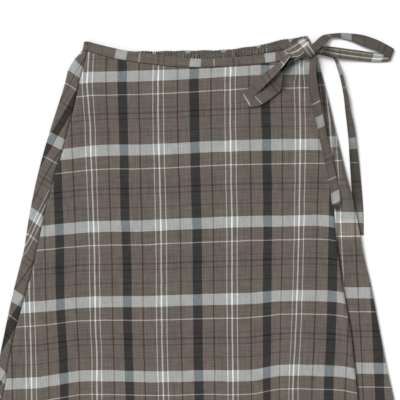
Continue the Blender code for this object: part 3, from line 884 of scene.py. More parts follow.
def cloth_mesh(name, spots, closed, material):
    """A mesh from lines of spots. A closed one joins each line's last spot to its first."""
    mesh = bpy.data.meshes.new(name)
    bm = bmesh.new()
    layer = bm.loops.layers.uv.new("check_chart")
    # Each point carries its painted shade
    fold = bm.verts.layers.float.new("painted_shade")
    rows = len(spots[0])
    grid = []
    for line in spots:
        grid.append([bm.verts.new(Vector(spot.point) * MM) for spot in line])
        for vertex, spot in zip(grid[-1], line):
            vertex[fold] = min(DARKEST_PAINTED_SHADE, max(MOST_LIGHTENED, spot.shade))
    for i in range(len(spots) - 1):
        for j in range(rows if closed else rows - 1):
            k = (j + 1) % rows
            corners = ((i, j), (i + 1, j), (i + 1, k), (i, k))
            face = bm.faces.new([grid[p][q] for p, q in corners])
            face.smooth = True
            marks = [(spots[p][q].end_check if q == k else None) or spots[p][q].check for p, q in corners]
            crosswise = [mark[1] for mark in marks]
            if max(crosswise) - min(crosswise) > CHART_BREAK:
                marks = [(mark[0], crosswise[0]) for mark in marks]
            for loop, mark in zip(face.loops, marks):
                loop[layer].uv = mark
    bm.to_mesh(mesh)
    bm.free()
    mesh.materials.append(material)
    return show(name, mesh)


def give_wall(piece, wall, offset):
    solid = piece.modifiers.new("cloth wall", "SOLIDIFY")
    solid.thickness = wall * MM
    solid.offset = offset
    solid.use_even_offset = False
    return piece


def open_cloth(x, y):
    return 0.0


def panel_sheet(name, columns, rows, place, shade=open_cloth):
    """An open sheet: place(i, j) gives a point and its check, shade(x, y) its painted shade."""
    spots = []
    for i in range(columns):
        line = [place(i, j) for j in range(rows)]
        spots.append([Spot(point, check, shade(point[0], point[1])) for point, check in line])
    return give_wall(cloth_mesh(name, spots, False, panel_cloth), PANEL_CLOTH, 0.0)


Crease = namedtuple("Crease", "x1 y1 x2 y2 width height")
# How many of its widths a crease reaches sideways, and the share of its length that fades at each end
CREASE_REACH = 3.2
CREASE_FADE = 0.3


def crease_relief(creases, x, y):
    """Soft ridges and troughs along segments, fading at their ends."""
    total = 0.0
    for crease in creases:
        dx = crease.x2 - crease.x1
        dy = crease.y2 - crease.y1
        length = math.hypot(dx, dy)
        along = ((x - crease.x1) * dx + (y - crease.y1) * dy) / length
        side = ((x - crease.x1) * dy - (y - crease.y1) * dx) / length
        if 0.0 <= along <= length and abs(side) <= CREASE_REACH * crease.width:
            ends = within(along, 0.0, CREASE_FADE * length, (1 - CREASE_FADE) * length, length)
            total += crease.height * ends * bell(side, crease.width)
    return total


# Over panel: the main soft fold runs down between its third and fourth white threes
OVER_CREASES = (
    Crease(133.0, 20.0, 140.0, -700.0, 9.0, 3.0),
    Crease(112.0, -40.0, 112.0, -690.0, 8.0, -0.5),
    Crease(158.0, 120.0, 166.0, -330.0, 9.0, 1.0),
    Crease(-60.0, 185.0, -100.0, -60.0, 12.0, 0.9),
    Crease(-10.0, 190.0, -4.0, -200.0, 14.0, 0.8),
    Crease(-150.0, 190.0, -205.0, -20.0, 8.0, 1.0),
    Crease(-185.0, 60.0, -215.0, -160.0, 9.0, 0.9),
    Crease(60.0, 180.0, 62.0, -120.0, 13.0, 0.7),
    Crease(-60.0, -60.0, -75.0, -640.0, 18.0, 1.6),
    Crease(30.0, -120.0, 40.0, -640.0, 20.0, 1.5),
    Crease(-190.0, -200.0, -240.0, -640.0, 16.0, 1.8),
    Crease(-130.0, -330.0, -150.0, -640.0, 14.0, -0.4),
    Crease(200.0, -260.0, 226.0, -640.0, 12.0, 1.5),
)
OVER_PUCKERS = tuple(
    Crease(x, front_bottom(x) + 3.0, x + lean, front_bottom(x) - length, width, height)
    for x, lean, length, width, height in (
        (-146.0, -4.0, 26.0, 2.6, 0.5),
        (-131.0, -3.0, 17.0, 2.2, 0.35),
        (-117.0, -3.0, 30.0, 3.0, 0.5),
        (-98.0, -2.0, 20.0, 2.4, 0.35),
        (-83.0, -2.0, 27.0, 3.0, 0.45),
        (-58.0, -1.0, 18.0, 2.4, 0.4),
        (-37.0, 0.0, 25.0, 2.8, 0.4),
        (-12.0, 0.0, 16.0, 2.4, 0.35),
        (9.0, 1.0, 24.0, 2.8, 0.45),
        (31.0, 1.0, 19.0, 2.4, 0.35),
        (56.0, 2.0, 28.0, 3.0, 0.45),
        (84.0, 3.0, 22.0, 2.6, 0.4),
        (139.0, 3.0, 25.0, 2.6, 0.7),
        (147.0, 3.0, 21.0, 2.0, -0.4),
        (154.0, 3.0, 27.0, 2.4, 0.7),
    )
)
# The cloth turns at the right side seam, a measured way inside the line of the solids, and stands off the
# floor there
RIGHT_STAND = 1.6
RIGHT_STAND_REACH = (24.0, 3.0)
RIGHT_STAND_Y = (214.0, 200.0)
right_turn = smooth_curve(
    (
        (-625.0, 2.0), (-281.0, 2.4), (-247.0, 3.2), (-212.0, 2.9), (-177.0, 2.5), (-142.0, 1.9),
        (-107.0, 2.2), (-90.0, 2.9), (-72.5, 3.4), (-51.0, 2.5), (5.0, 1.9), (25.0, 2.8), (36.0, 3.3),
        (50.0, 3.0), (58.0, 2.7), (87.0, 2.5), (113.0, 2.5), (122.0, 2.1), (132.0, 1.7), (145.0, 1.1),
        (182.0, 1.0), (196.0, 2.0), (240.0, 2.0),
    )
)


def right_stand(x, y):
    return RIGHT_STAND * smooth(right_fold(y) - x, *RIGHT_STAND_REACH) * smooth(y, *RIGHT_STAND_Y)


HEM_DEPTH = 14.0
EDGE_HEM = 8.0
HEM_LAYER = 0.35
HEM_STEP = 1.2
HEM_STITCH_INSET = 1.5
STITCH_GROOVE = 0.25
STITCH_GROOVE_WIDTH = 0.8
SEAM_DIP = 0.7
SEAM_DIP_WIDTH = 2.6
RIGHT_DIP_WIDTH = 2.2


def turned_hem(inward, depth):
    """The second layer of a turned hem and the groove of its stitching."""
    layer = HEM_LAYER * smooth(inward, depth + HEM_STEP, depth)
    return layer - STITCH_GROOVE * bell(inward - depth + HEM_STITCH_INSET, STITCH_GROOVE_WIDTH)


def over_surface(x, y):
    z = over_height(x, y) + crease_relief(OVER_CREASES, x, y) + crease_relief(OVER_PUCKERS, x, y)
    z += turned_hem(free_edge(y) - x, EDGE_HEM)
    stand = smooth(free_edge(y) - x, *FREE_EDGE_STAND_REACH) * smooth(y, *FREE_EDGE_STAND_Y)
    z += FREE_EDGE_STAND * stand
    z += turned_hem(y - hem(x), HEM_DEPTH)
    z -= SEAM_DIP * smooth(x - shown_seam(y), SEAM_DIP_WIDTH, 0.0)
    z -= SEAM_DIP * smooth(front_bottom(on_waist(x)) - y, SEAM_DIP_WIDTH, 0.0)
    return z


# Painted shade beside the bow loop and below the knot
OVER_SHADES = (
    Crease(126.0, 178.0, 144.0, 206.0, 4.2, 0.46),
    Crease(128.5, 188.0, 127.0, 152.0, 3.2, 0.34),
    Crease(129.0, 168.0, 96.0, 134.0, 3.2, 0.34),
    Crease(156.0, 201.6, 167.0, 201.0, 1.3, 0.42),
    Crease(155.5, 204.5, 151.5, 191.0, 1.5, 0.34),
    Crease(150.0, 203.0, 152.0, 150.0, 10.0, 0.10),
)
OVER_COLUMNS = 121
OVER_ROWS = 190


def over_shade(x, y):
    return crease_relief(OVER_SHADES, x, y)


def make_over_panel():
    down = closer_shares(OVER_ROWS, 1.25)

    def place(i, j):
        share = i / (OVER_COLUMNS - 1)

        def across(y):
            seam = shown_seam(y) + SEAM_GAP / 2
            return seam + share * (free_edge(y) - seam)

        x, y = down_the_panel(across, front_bottom, hem, down[-1 - j])
        return (x, y, over_surface(x, y)), over_check(x, y)

    return panel_sheet("over_panel_cloth", OVER_COLUMNS, OVER_ROWS, place, over_shade)


UNDER_CREASES = (
    Crease(196.0, 20.0, 232.0, -300.0, 5.0, 0.5),
    Crease(214.0, -90.0, 262.0, -560.0, 9.0, 0.9),
    Crease(246.0, -240.0, 300.0, -640.0, 10.0, 1.0),
)


def under_surface(x, y):
    z = under_height(x, y) + crease_relief(UNDER_CREASES, x, y) + right_stand(x, y)
    z += turned_hem(y - hem(x), HEM_DEPTH) * UNDER_HEM_SHARE
    z -= UNDER_RIGHT_DIP * smooth(right_fold(y) - x, RIGHT_DIP_WIDTH, 0.0)
    return z


# Painted shadow along the left tail
UNDER_SHADES = (
    Crease(170.0, 214.0, 176.0, 168.0, 5.0, 0.30),
    Crease(175.0, 196.0, 190.0, 116.0, 2.2, 0.45),
    Crease(186.0, 132.0, 197.0, 70.0, 2.2, 0.22),
    Crease(206.0, 94.0, 206.0, 70.0, 7.0, 0.20),
)
# Painted shadow of the free edge, painted shade of the turned right edge and painted light where the right
# tail raises the cloth
FREE_EDGE_SHADE = 0.42
FREE_EDGE_SHADE_REACH = (4.2, 0.5)
FREE_EDGE_SHADE_Y = (-40.0, -70.0)
RIGHT_EDGE_SHADE = 0.15
RIGHT_EDGE_SHADE_REACH = (7.5, 0.5)
RIGHT_EDGE_SHADE_Y = (-20.0, 20.0, 170.0, 200.0)
RAISED_LIGHT = 0.26
RAISED_LIGHT_X = (198.0, 206.0)
RAISED_LIGHT_Y = (-58.0, -50.0, -36.0, -28.0)
UNDER_HEM_SHARE = 0.6
UNDER_RIGHT_DIP = 0.45
UNDER_COLUMNS = 110
UNDER_CROWD = 1.9
UNDER_ROWS = 120


def under_shade(x, y):
    """Painted shadow beside the left tail and the free edge, painted shade along the turned right edge, and
    painted light where the right tail lies beneath.
    """
    beside = smooth(x - free_edge(y), *FREE_EDGE_SHADE_REACH) * smooth(y, *FREE_EDGE_SHADE_Y)
    turned = smooth(right_fold(y) - right_turn(y) - x, *RIGHT_EDGE_SHADE_REACH)
    turned *= within(y, *RIGHT_EDGE_SHADE_Y)
    raised = within(y, *RAISED_LIGHT_Y) * smooth(x, *RAISED_LIGHT_X)
    edges = FREE_EDGE_SHADE * beside + RIGHT_EDGE_SHADE * turned
    return crease_relief(UNDER_SHADES, x, y) + edges - RAISED_LIGHT * raised


def make_under_panel():
    down = closer_shares(UNDER_ROWS, 1.2)

    def place(i, j):
        share = 1 - (1 - i / (UNDER_COLUMNS - 1)) ** UNDER_CROWD

        def across(y):
            return under_edge(y) + share * (right_fold(y) - right_turn(y) - under_edge(y))

        x, y = down_the_panel(across, under_bottom, hem, down[-1 - j])
        return (x, y, under_surface(x, y)), under_check(x, y)

    return panel_sheet("under_panel_cloth", UNDER_COLUMNS, UNDER_ROWS, place, under_shade)


PANEL_GATHERS = 20
FINE_GATHERS = 3
BROAD_GATHER = 0.72
FINE_GATHER = 0.35
FINE_GATHER_SLIP = (Ripple(2.0, 9.0, 0.0, 0.0),)
FINE_GATHER_Y = (120.0, 200.0)
BROAD_MIDDLE = 0.75
BROAD_UNEVEN = (Ripple(0.25, 11.0, 0.0, 0.7),)
# Shares across the back between which it is gathered
GATHERED = (0.03, 0.09, 0.94, 0.985)
BACK_CREASE_SHARE = 0.6
BACK_RIGHT_RISE = 0.25
STRIP_SEAM_DIP = 0.8
FOLD_STEPS = 8
STRIP_STEPS = 7
BACK_STEPS = 260
BACK_ROWS = 120
STRIP_CREASES = (
    Crease(-172.0, 212.0, -176.0, 150.0, 3.4, 0.8),
    Crease(-190.0, 172.0, -196.0, 96.0, 3.6, 0.7),
    Crease(-212.0, 98.0, -214.0, 20.0, 4.4, 0.8),
    Crease(-222.0, 26.0, -238.0, -74.0, 4.4, 0.9),
    Crease(-236.0, -50.0, -252.0, -160.0, 3.6, 0.8),
    Crease(-262.0, -130.0, -272.0, -250.0, 4.0, 0.8),
)
BACK_CREASES = (
    Crease(-250.0, -640.0, -120.0, 60.0, 16.0, 0.5),
    Crease(-110.0, -640.0, -60.0, 20.0, 18.0, 0.6),
    Crease(60.0, -640.0, 20.0, 60.0, 16.0, 0.5),
    Crease(210.0, -640.0, 110.0, 40.0, 17.0, 0.6),
)


def back_gather(x, y):
    """Broad folds that die out down the skirt, with fine ones between them at the elastic."""
    share = (x - left_fold(y)) / (right_fold(y) - left_fold(y))
    swing = 0.5 - 0.5 * math.cos(2 * math.pi * PANEL_GATHERS * share)
    fine_phase = 2 * math.pi * PANEL_GATHERS * FINE_GATHERS * share + rippled(FINE_GATHER_SLIP, share)
    fine = 0.5 - 0.5 * math.cos(fine_phase)
    uneven = BROAD_MIDDLE + rippled(BROAD_UNEVEN, share)
    broad = BROAD_GATHER * waist_rise(y) * swing * uneven
    small = FINE_GATHER * smooth(y, *FINE_GATHER_Y) * fine
    return (broad + small) * within(share, *GATHERED)


def back_surface(x, y):
    z = BACK_MID + back_gather(x, y) + tail_lift(x, y, 0)
    z += BACK_CREASE_SHARE * crease_relief(BACK_CREASES, x, y)
    return z + right_stand(x, y) + BACK_RIGHT_RISE * smooth(right_fold(y) - x, RIGHT_DIP_WIDTH, 0.0)


def make_back_panel():
    down = closer_shares(BACK_ROWS, 1.25)
    columns = BACK_STEPS + 1 + FOLD_STEPS + STRIP_STEPS

    def top(x):
        return back_bottom(x) - SEAM_GAP

    def place(i, j):
        flat = min(i, BACK_STEPS) / BACK_STEPS

        def across(y):
            fold = left_fold(y) + fold_wander(y) + (over_height(0.0, y) - BACK_MID) / 2 + PANEL_WALL / 2
            right = right_fold(y) - right_turn(y)
            return right + flat * (fold - right)

        x, y = down_the_panel(across, top, hem, down[-1 - j])
        if i <= BACK_STEPS:
            return (x, y, back_surface(x, y)), back_check(x, y)
        upper = over_height(0.0, y)
        radius = (upper - BACK_MID) / 2
        if i <= BACK_STEPS + FOLD_STEPS:
            turn = math.pi * (i - BACK_STEPS) / FOLD_STEPS
            point = (x - radius * math.sin(turn), y, BACK_MID + radius * (1 - math.cos(turn)))
            return point, folded_check(0.0, y)
        along = (i - BACK_STEPS - FOLD_STEPS) / STRIP_STEPS
        seam = shown_seam(y) - SEAM_GAP / 2
        at = x + along * (seam - x)
        z = upper + crease_relief(STRIP_CREASES, at, y)
        z -= STRIP_SEAM_DIP * smooth(seam - at, SEAM_DIP_WIDTH, 0.0)
        return (at, y, z), folded_check(along, y)

    return panel_sheet("back_panel_cloth", columns, BACK_ROWS, place)


# Bands and ties are flattened tubes of cloth

TUBE_HALF_LEAST = 0.3
TUBE_SIDE_STEPS = 8
# How far ahead and behind, in sections, a tube's course is read
COURSE_REACH = 0.02


def strip_curves(sections):
    return [
        smooth_curve([(k, getattr(row, field)) for k, row in enumerate(sections)])
        for field in Section._fields
    ]


def edge_points(curves, at):
    x1, y1, z1, x2, y2, z2 = (curve(at) for curve in curves)
    return Vector((x1, y1, z1)), Vector((x2, y2, z2))


def tube_frame(curves, at, last):
    """The two edges of a tube at a place along it, and the way its first face looks."""
    first, second = edge_points(curves, at)
    ahead = sum(edge_points(curves, min(at + COURSE_REACH, last)), Vector()) / 2
    behind = sum(edge_points(curves, max(at - COURSE_REACH, 0.0)), Vector()) / 2
    along = (ahead - behind).normalized()
    return first, second, along.cross(second - first).normalized()


def flat_half(width, thickness):
    return max(width / 2 - thickness / 2, TUBE_HALF_LEAST)


def tube_ring(first, second, normal, thickness, side_steps):
    """Points round a flattened tube, each with its face, 1 or -1, and its share across that face, 0 to 1."""
    across = second - first
    width = across.length
    across = across / width
    middle = (first + second) / 2
    flat = flat_half(width, thickness)
    ring = []
    for face in (1, -1):
        for s in shares(side_steps + 1):
            place = (-1 + 2 * s) * face
            ring.append((middle + across * (flat * place) + normal * (face * thickness / 2), face, s))
        for turn in (30, 90, 150):
            angle = math.radians(turn)
            out = math.sin(angle) * thickness / 2
            up = math.cos(angle) * thickness / 2
            ring.append((middle + across * (face * (flat + out)) + normal * (face * up), face, 1.0))
    return ring


def open_tube(at, face, s):
    return 0.0


def tube_piece(
    name, sections, steps, thickness, material, check,
    shape=open_tube, shade=open_tube, side_steps=TUBE_SIDE_STEPS,
):
    """
    A flattened tube through its sections. At a place along it, on a face and at a share across that face,
    check gives the repeats, shape a lift and shade the painted shade.
    """
    curves = strip_curves(sections)
    last = len(sections) - 1
    spots = []
    for i in range(last * steps + 1):
        at = i / steps
        first, second, normal = tube_frame(curves, at, last)
        line = []
        for point, face, s in tube_ring(first, second, normal, thickness, side_steps):
            raised = point + normal * shape(at, face, s)
            end_check = None if s > 0 else check(at, -face, 1.0)
            line.append(Spot(raised, check(at, face, s), shade(at, face, s), end_check))
        spots.append(line)
    return give_wall(cloth_mesh(name, spots, True, material), TUBE_CLOTH, -1.0)


# Where the bands have a section before they run into the knot
BAND_X = (-78.0, -55.0, -30.0, -8.0, 14.0, 38.0, 62.0, 84.0, 103.0)
OVER_BAND_X = (-143.0, -122.0, -100.0) + BAND_X
UNDER_BAND_X = (-146.0, -134.0, -118.0, -98.0) + BAND_X + (122.0,)
UNDER_BAND_DROP = 1.5


def band_rows(stations, bottom, drop, mid):
    rows = []
    for x in stations:
        rows.append(Section(x, front_top(x) - drop, mid, x, bottom(x) + 2 * SEAM_GAP, mid))
    return tuple(rows)


def over_band_sections():
    start = left_seam(222.0) + SEAM_GAP / 2
    rows = band_rows((start,) + OVER_BAND_X, front_bottom, 0.0, OVER_BAND_MID)
    slanted = rows[0]._replace(x1=left_seam(229.0) + SEAM_GAP / 2, x2=left_seam(215.0) + SEAM_GAP / 2)
    return (slanted,) + rows[1:] + OVER_BAND_END


over_band_rows = over_band_sections()
under_band_rows = band_rows(UNDER_BAND_X, under_bottom, UNDER_BAND_DROP, UNDER_BAND_MID) + UNDER_BAND_END
over_band_curves = strip_curves(over_band_rows)
under_band_curves = strip_curves(under_band_rows)
OVER_BAND_STEPS = 8
OVER_BAND_SIDE_STEPS = 28
UNDER_BAND_STEPS = 5
UNDER_BAND_REPEAT = 74.45
UNDER_BAND_BAR = 308.0
# Where the bands start in the repeat and how much of one they hold: the over band plain, and drawn up at the
# knot, where BAND_LINES_AT is a share across and its place in the repeat
BAND_PLAIN = (0.283, 0.139)
BAND_LINES_AT = (0.17, -0.0736)
BAND_LINES_WIDTH = 0.18
UNDER_BAND_PLAIN = (0.29, 0.13)
BACK_BAND_PLAIN = (0.29, 0.14)
# The knot pulls the band's lower edge to the right: how many pixels, round which share across
BAND_PULL = 3.6
BAND_PULL_AT = 0.35
band_crosswise = smooth_curve(
    (
        (77.0, -0.5937), (121.2, 0.0), (195.3, 1.0), (270.1, 2.0), (275.9, 2.085), (286.0, 2.23),
        (294.0, 2.60), (303.0, 3.0), (312.0, 3.14),
    )
)


def from_first_edge(face, s):
    """The share across a tube, counted from its first edge on both faces."""
    return s if face > 0 else 1 - s


# Sections of the over band between which the waist's slope stops counting, the check turns with the pull,
# the white three comes onto the band, and the pleats rise, darken and open
SLOPE_STOPS = (13.0, 12.0)
CHECK_TURNS = (14.2, 15.6)
LINES_COME = (12.9, 15.0)
PLEATS_RISE = (12.9, 14.6)
PLEATS_DARKEN = (13.6, 15.0)
PLEATS_OPEN = (15.6, 17.0)


def over_band_check(at, face, s):
    first, second = edge_points(over_band_curves, at)
    middle = (first + second) / 2
    across = from_first_edge(face, s)
    slope = (front_top(middle.x + 1) - front_top(middle.x - 1)) / 2 * smooth(at, *SLOPE_STOPS)
    right = pixel_place(middle.x + slope * (0.5 - across) * BAND_HEIGHT, 0.0)[0]
    right -= BAND_PULL * (across - BAND_PULL_AT) * smooth(at, *CHECK_TURNS)
    plain = BAND_PLAIN[0] + BAND_PLAIN[1] * across
    lined = BAND_LINES_AT[1] + BAND_LINES_WIDTH * (across - BAND_LINES_AT[0])
    lengthwise = plain + (lined - plain) * smooth(at, *LINES_COME)
    return lengthwise, band_crosswise(right)


def under_band_check(at, face, s):
    first, second = edge_points(under_band_curves, at)
    right = pixel_place((first.x + second.x) / 2, 0.0)[0]
    lengthwise = UNDER_BAND_PLAIN[0] + UNDER_BAND_PLAIN[1] * from_first_edge(face, s)
    return lengthwise, (right - UNDER_BAND_BAR) / UNDER_BAND_REPEAT


# The over band is drawn into lengthwise pleats at the knot, which rise slowly and fall steeply
PLEATS = 3.0
PLEAT_HEIGHT = 1.9
PLEAT_RIDGE = 0.62
PLEATS_OPENED = 0.65
PLEAT_START = 0.2
BAND_RIPPLE = 0.12
BAND_RIPPLE_WAVES = 3.1


def over_band_shape(at, face, s):
    if face < 0:
        return 0.0
    drawn = smooth(at, *PLEATS_RISE)
    phase = (PLEATS * s + PLEAT_START) % 1.0
    pleat = phase / PLEAT_RIDGE if phase < PLEAT_RIDGE else (1 - phase) / (1 - PLEAT_RIDGE)
    opened = 1 - PLEATS_OPENED * smooth(at, *PLEATS_OPEN)
    ripple = BAND_RIPPLE * math.sin(BAND_RIPPLE_WAVES * at) * (1 - drawn)
    return drawn * opened * PLEAT_HEIGHT * (pleat - 0.5) + ripple


# Place across and darkness of the painted shade in the creases between the pleats, and the painted shade over
# the whole pleated end
PLEAT_CREASES = ((0.05, 0.20), (0.66, 0.35), (0.88, 0.30))
PLEAT_CREASE_WIDTH = 0.045
PLEAT_SHADE = 0.20


def over_band_shade(at, face, s):
    if face < 0:
        return 0.0
    creased = sum(dark * bell(s - place, PLEAT_CREASE_WIDTH) for place, dark in PLEAT_CREASES)
    return smooth(at, *PLEATS_DARKEN) * (PLEAT_SHADE + creased)


def make_over_band():
    return tube_piece(
        "over_band_cloth",
        over_band_rows,
        OVER_BAND_STEPS,
        BAND_THICKNESS,
        panel_cloth,
        over_band_check,
        shape=over_band_shape,
        shade=over_band_shade,
        side_steps=OVER_BAND_SIDE_STEPS,
    )


def make_under_band():
    return tube_piece(
        "under_band_cloth", under_band_rows, UNDER_BAND_STEPS, BAND_THICKNESS, panel_cloth, under_band_check
    )


BAND_GATHERS = 84
BAND_WAVE = 0.88
BACK_BAND_MID = 1.75
BACK_BAND_HALF = 0.35
BACK_BAND_ROWS = 12
# The gathers are unevenly spaced, and step aside below the stitched line
GATHER_SLIP = (
    Ripple(1.9, 23.0, 5.0, 0.0),
    Ripple(1.4, 61.0, 0.0, 2.0),
    Ripple(0.8, 139.0, 0.0, 0.0),
)
GATHER_STEP = 1.9
GATHER_STEPS_ASIDE = (0.34, 0.5)
# Their height: its middle, its unevenness, its share above the stitched line and what is gained below it
WAVE_MIDDLE = 0.76
WAVE_UNEVEN = (Ripple(0.24, 37.0, 3.0, 0.0),)
WAVE_ABOVE = 0.62
WAVE_GAINED = 0.38
WAVE_GAINS = (0.30, 0.5)
# The stitched line that holds the gathers down: its place and half width in shares down, and how far
WAVE_HELD_AT = (0.36, 0.06)
WAVE_HELD = 0.45
WAVE_ALONG = (0.0, 0.05, 0.96, 1.0)
# Painted shade in the valleys above and below the line and on the line, darkness on the heading above it, and
# how much paler the whole band is painted
VALLEY_FULL = 0.9
VALLEY_ABOVE = 0.05
VALLEY_BELOW = 0.62
VALLEY_DEEPENS = (0.44, 0.56)
VALLEY_UNEVEN = (Ripple(0.6, 463.0, 0.0, 1.0), Ripple(0.5, 197.0, 0.0, 0.0))
LINE_SHADE = 0.06
LINE_SHADE_AT = (0.38, 0.05)
HEADING_SHADE = 0.12
HEADING_ENDS = (0.40, 0.32)
BACK_BAND_PALER = 0.08
# The top edge is scalloped by the gathers and a slow wave
SCALLOP_SWING = 0.45
SCALLOP_WAVE = (Ripple(0.35, 71.0, 0.0, 0.0),)
SCALLOP_FADES = (0.5, 0.0)
# The band is thinner at its edges, and lower where it turns
EDGE_THINNING = 0.8
EDGE_THINS = (0.86, 1.0)
TURN_DROP = 0.5
TURN_DROPS = (0.97, 1.0)
# The gathers sway the crosswise bars, and below the heading the bars are narrower, up to BAR_REACH from them
BAR_SWAY = 0.012
BAR_NARROWING = (0.5, 60.0)
BAR_NARROWS_HEADING = (0.0, 0.30)
BAR_NARROWS_BELOW = (0.28, 0.44)
BAR_REACH = 0.2
FOLD_REPEAT = 0.02
back_top_drop = smooth_curve(
    (
        (-163.0, 0.0), (-146.0, 1.1), (-103.0, 1.1), (-88.0, 0.2), (-60.0, 0.3), (0.0, 0.6), (42.0, 1.1),
        (85.0, 1.3), (100.0, 0.9), (114.0, -0.3), (143.0, -0.2), (178.0, 0.0),
    )
)
back_band_crosswise = smooth_curve(
    (
        (77.0, -1.70), (112.0, -1.62), (135.0, -1.42), (151.0, -1.10), (175.0, -0.30), (187.4, 0.0),
        (195.0, 0.19), (197.5, 0.32), (223.5, 1.0), (231.0, 1.19), (233.5, 1.32), (258.5, 2.0),
        (290.3, 3.0), (304.0, 3.42), (316.0, 3.75),
    )
)


def back_band_swing(flat, down):
    """Which part of a gather this is, -1 in the valley and 1 on the rib, unevenly spaced."""
    phase = 2 * math.pi * BAND_GATHERS * flat
    slip = rippled(GATHER_SLIP, flat, down)
    return math.sin(phase + slip + GATHER_STEP * smooth(down, *GATHER_STEPS_ASIDE))


def back_band_wave(flat, down):
    """Gathers on the elastic, low above the stitched line a third of the way down and deep below it."""
    uneven = WAVE_MIDDLE + rippled(WAVE_UNEVEN, flat, down)
    below = WAVE_ABOVE + WAVE_GAINED * smooth(down, *WAVE_GAINS)
    stitched = 1 - WAVE_HELD * bell(down - WAVE_HELD_AT[0], WAVE_HELD_AT[1])
    ends = within(flat, *WAVE_ALONG)
    return BAND_WAVE * back_band_swing(flat, down) * uneven * below * stitched * ends


def back_band_shade(flat, down):
    """Painted shade in the valleys, deepest below the stitched line and very uneven from one to the next."""
    valley = smooth(-back_band_swing(flat, down), 0.0, VALLEY_FULL)
    uneven = max(0.0, rippled(VALLEY_UNEVEN, flat))
    below = VALLEY_ABOVE + VALLEY_BELOW * smooth(down, *VALLEY_DEEPENS) * uneven
    line = LINE_SHADE * bell(down - LINE_SHADE_AT[0], LINE_SHADE_AT[1])
    heading = HEADING_SHADE * smooth(down, *HEADING_ENDS)
    return below * valley + line + heading - BACK_BAND_PALER


BACK_BAND_STEPS = BAND_GATHERS * 9
BACK_BAND_FOLD_STEPS = 8
BACK_BAND_STRIP_STEPS = 4
BACK_BAND_COLUMNS = BACK_BAND_STEPS + 1 + BACK_BAND_FOLD_STEPS + BACK_BAND_STRIP_STEPS
BACK_BAND_RIGHT = (161.2, 168.4)


def back_band_place(i, face, down):
    """A point of the elastic band and its check: along the back, round the left fold and up to the seam."""
    flat = min(i, BACK_BAND_STEPS) / BACK_BAND_STEPS
    radius = (OVER_BAND_MID - BACK_MID) / 2
    right_end = BACK_BAND_RIGHT[0] + down * (BACK_BAND_RIGHT[1] - BACK_BAND_RIGHT[0])
    fold = left_fold(back_top(-160.0) - BAND_HEIGHT * down) + radius + PANEL_WALL / 2
    x = right_end + flat * (fold - right_end)
    top_edge = smooth(down, *SCALLOP_FADES)
    scallop = (SCALLOP_SWING * back_band_swing(flat, 0.0) + rippled(SCALLOP_WAVE, flat)) * top_edge
    y = back_top(x) - back_top_drop(x) * top_edge - BAND_HEIGHT * down + scallop
    half = BACK_BAND_HALF * (1 - EDGE_THINNING * smooth(abs(2 * down - 1), *EDGE_THINS))
    mid = BACK_BAND_MID - TURN_DROP * smooth(flat, *TURN_DROPS)
    z = mid + back_band_wave(flat, down) + face * half
    crosswise = back_band_crosswise(pixel_place(x, 0.0)[0]) + BAR_SWAY * back_band_swing(flat, down)
    nearest = round(crosswise)
    narrowing = 1 + BAR_NARROWING[0] * smooth(down, *BAR_NARROWS_HEADING)
    narrowing += BAR_NARROWING[1] * smooth(down, *BAR_NARROWS_BELOW)
    away = abs(crosswise - nearest)
    narrowed = min(away * narrowing, max(away, BAR_REACH))
    crosswise = nearest + math.copysign(narrowed, crosswise - nearest)
    turned = i - BACK_BAND_STEPS
    if turned > 0:
        bend = (OVER_BAND_MID - mid) / 2
        if turned <= BACK_BAND_FOLD_STEPS:
            turn = math.pi * turned / BACK_BAND_FOLD_STEPS
            reach = bend - face * half
            z = mid + bend - reach * math.cos(turn)
            x = x - reach * math.sin(turn)
        else:
            along = (turned - BACK_BAND_FOLD_STEPS) / BACK_BAND_STRIP_STEPS
            x = x + along * (left_seam(y) - SEAM_GAP / 2 - x)
            z = OVER_BAND_MID - face * half
        crosswise += FOLD_REPEAT * turned
    return (x, y, z), (BACK_BAND_PLAIN[0] + BACK_BAND_PLAIN[1] * down, crosswise)


def make_back_band():
    sides = [(face, share if face > 0 else 1 - share) for face in (1, -1) for share in shares(BACK_BAND_ROWS)]
    spots = []
    for i in range(BACK_BAND_COLUMNS):
        flat = min(i, BACK_BAND_STEPS) / BACK_BAND_STEPS
        line = []
        for face, down in sides:
            point, check = back_band_place(i, face, down)
            line.append(Spot(point, check, back_band_shade(flat, down)))
        spots.append(line)
    return give_wall(cloth_mesh("back_band_cloth", spots, True, tie_cloth), TUBE_CLOTH, -1.0)


def laid_on_front(sections):
    """Sections with their heights counted from the front of the skirt, raised onto it."""
    return tuple(
        row._replace(
            z1=row.z1 + over_height(row.x1, row.y1),
            z2=row.z2 + over_height(min(row.x2, over_edge(row.y2)), row.y2),
        )
        for row in sections
    )


tail_left_rows = laid_on_front(TAIL_LEFT)
tail_left_curves = strip_curves(tail_left_rows)
tail_right_curves = strip_curves(TAIL_RIGHT)
LOOP_LEFT_STEPS = 5
LOOP_RIGHT_STEPS = 6
TAIL_STEPS = 8

# Where a tie's faces start in the repeat and how much of one they hold: plain, or across the white threes
PLAIN_START = 0.288
PLAIN_WIDTH = 0.135
LINES_START = -0.110
LINES_WIDTH = 0.167
# The tie's second face was cut a little further along the cloth
SECOND_FACE_SHIFT = 0.1485
TAIL_LEFT_SLANT = 0.42

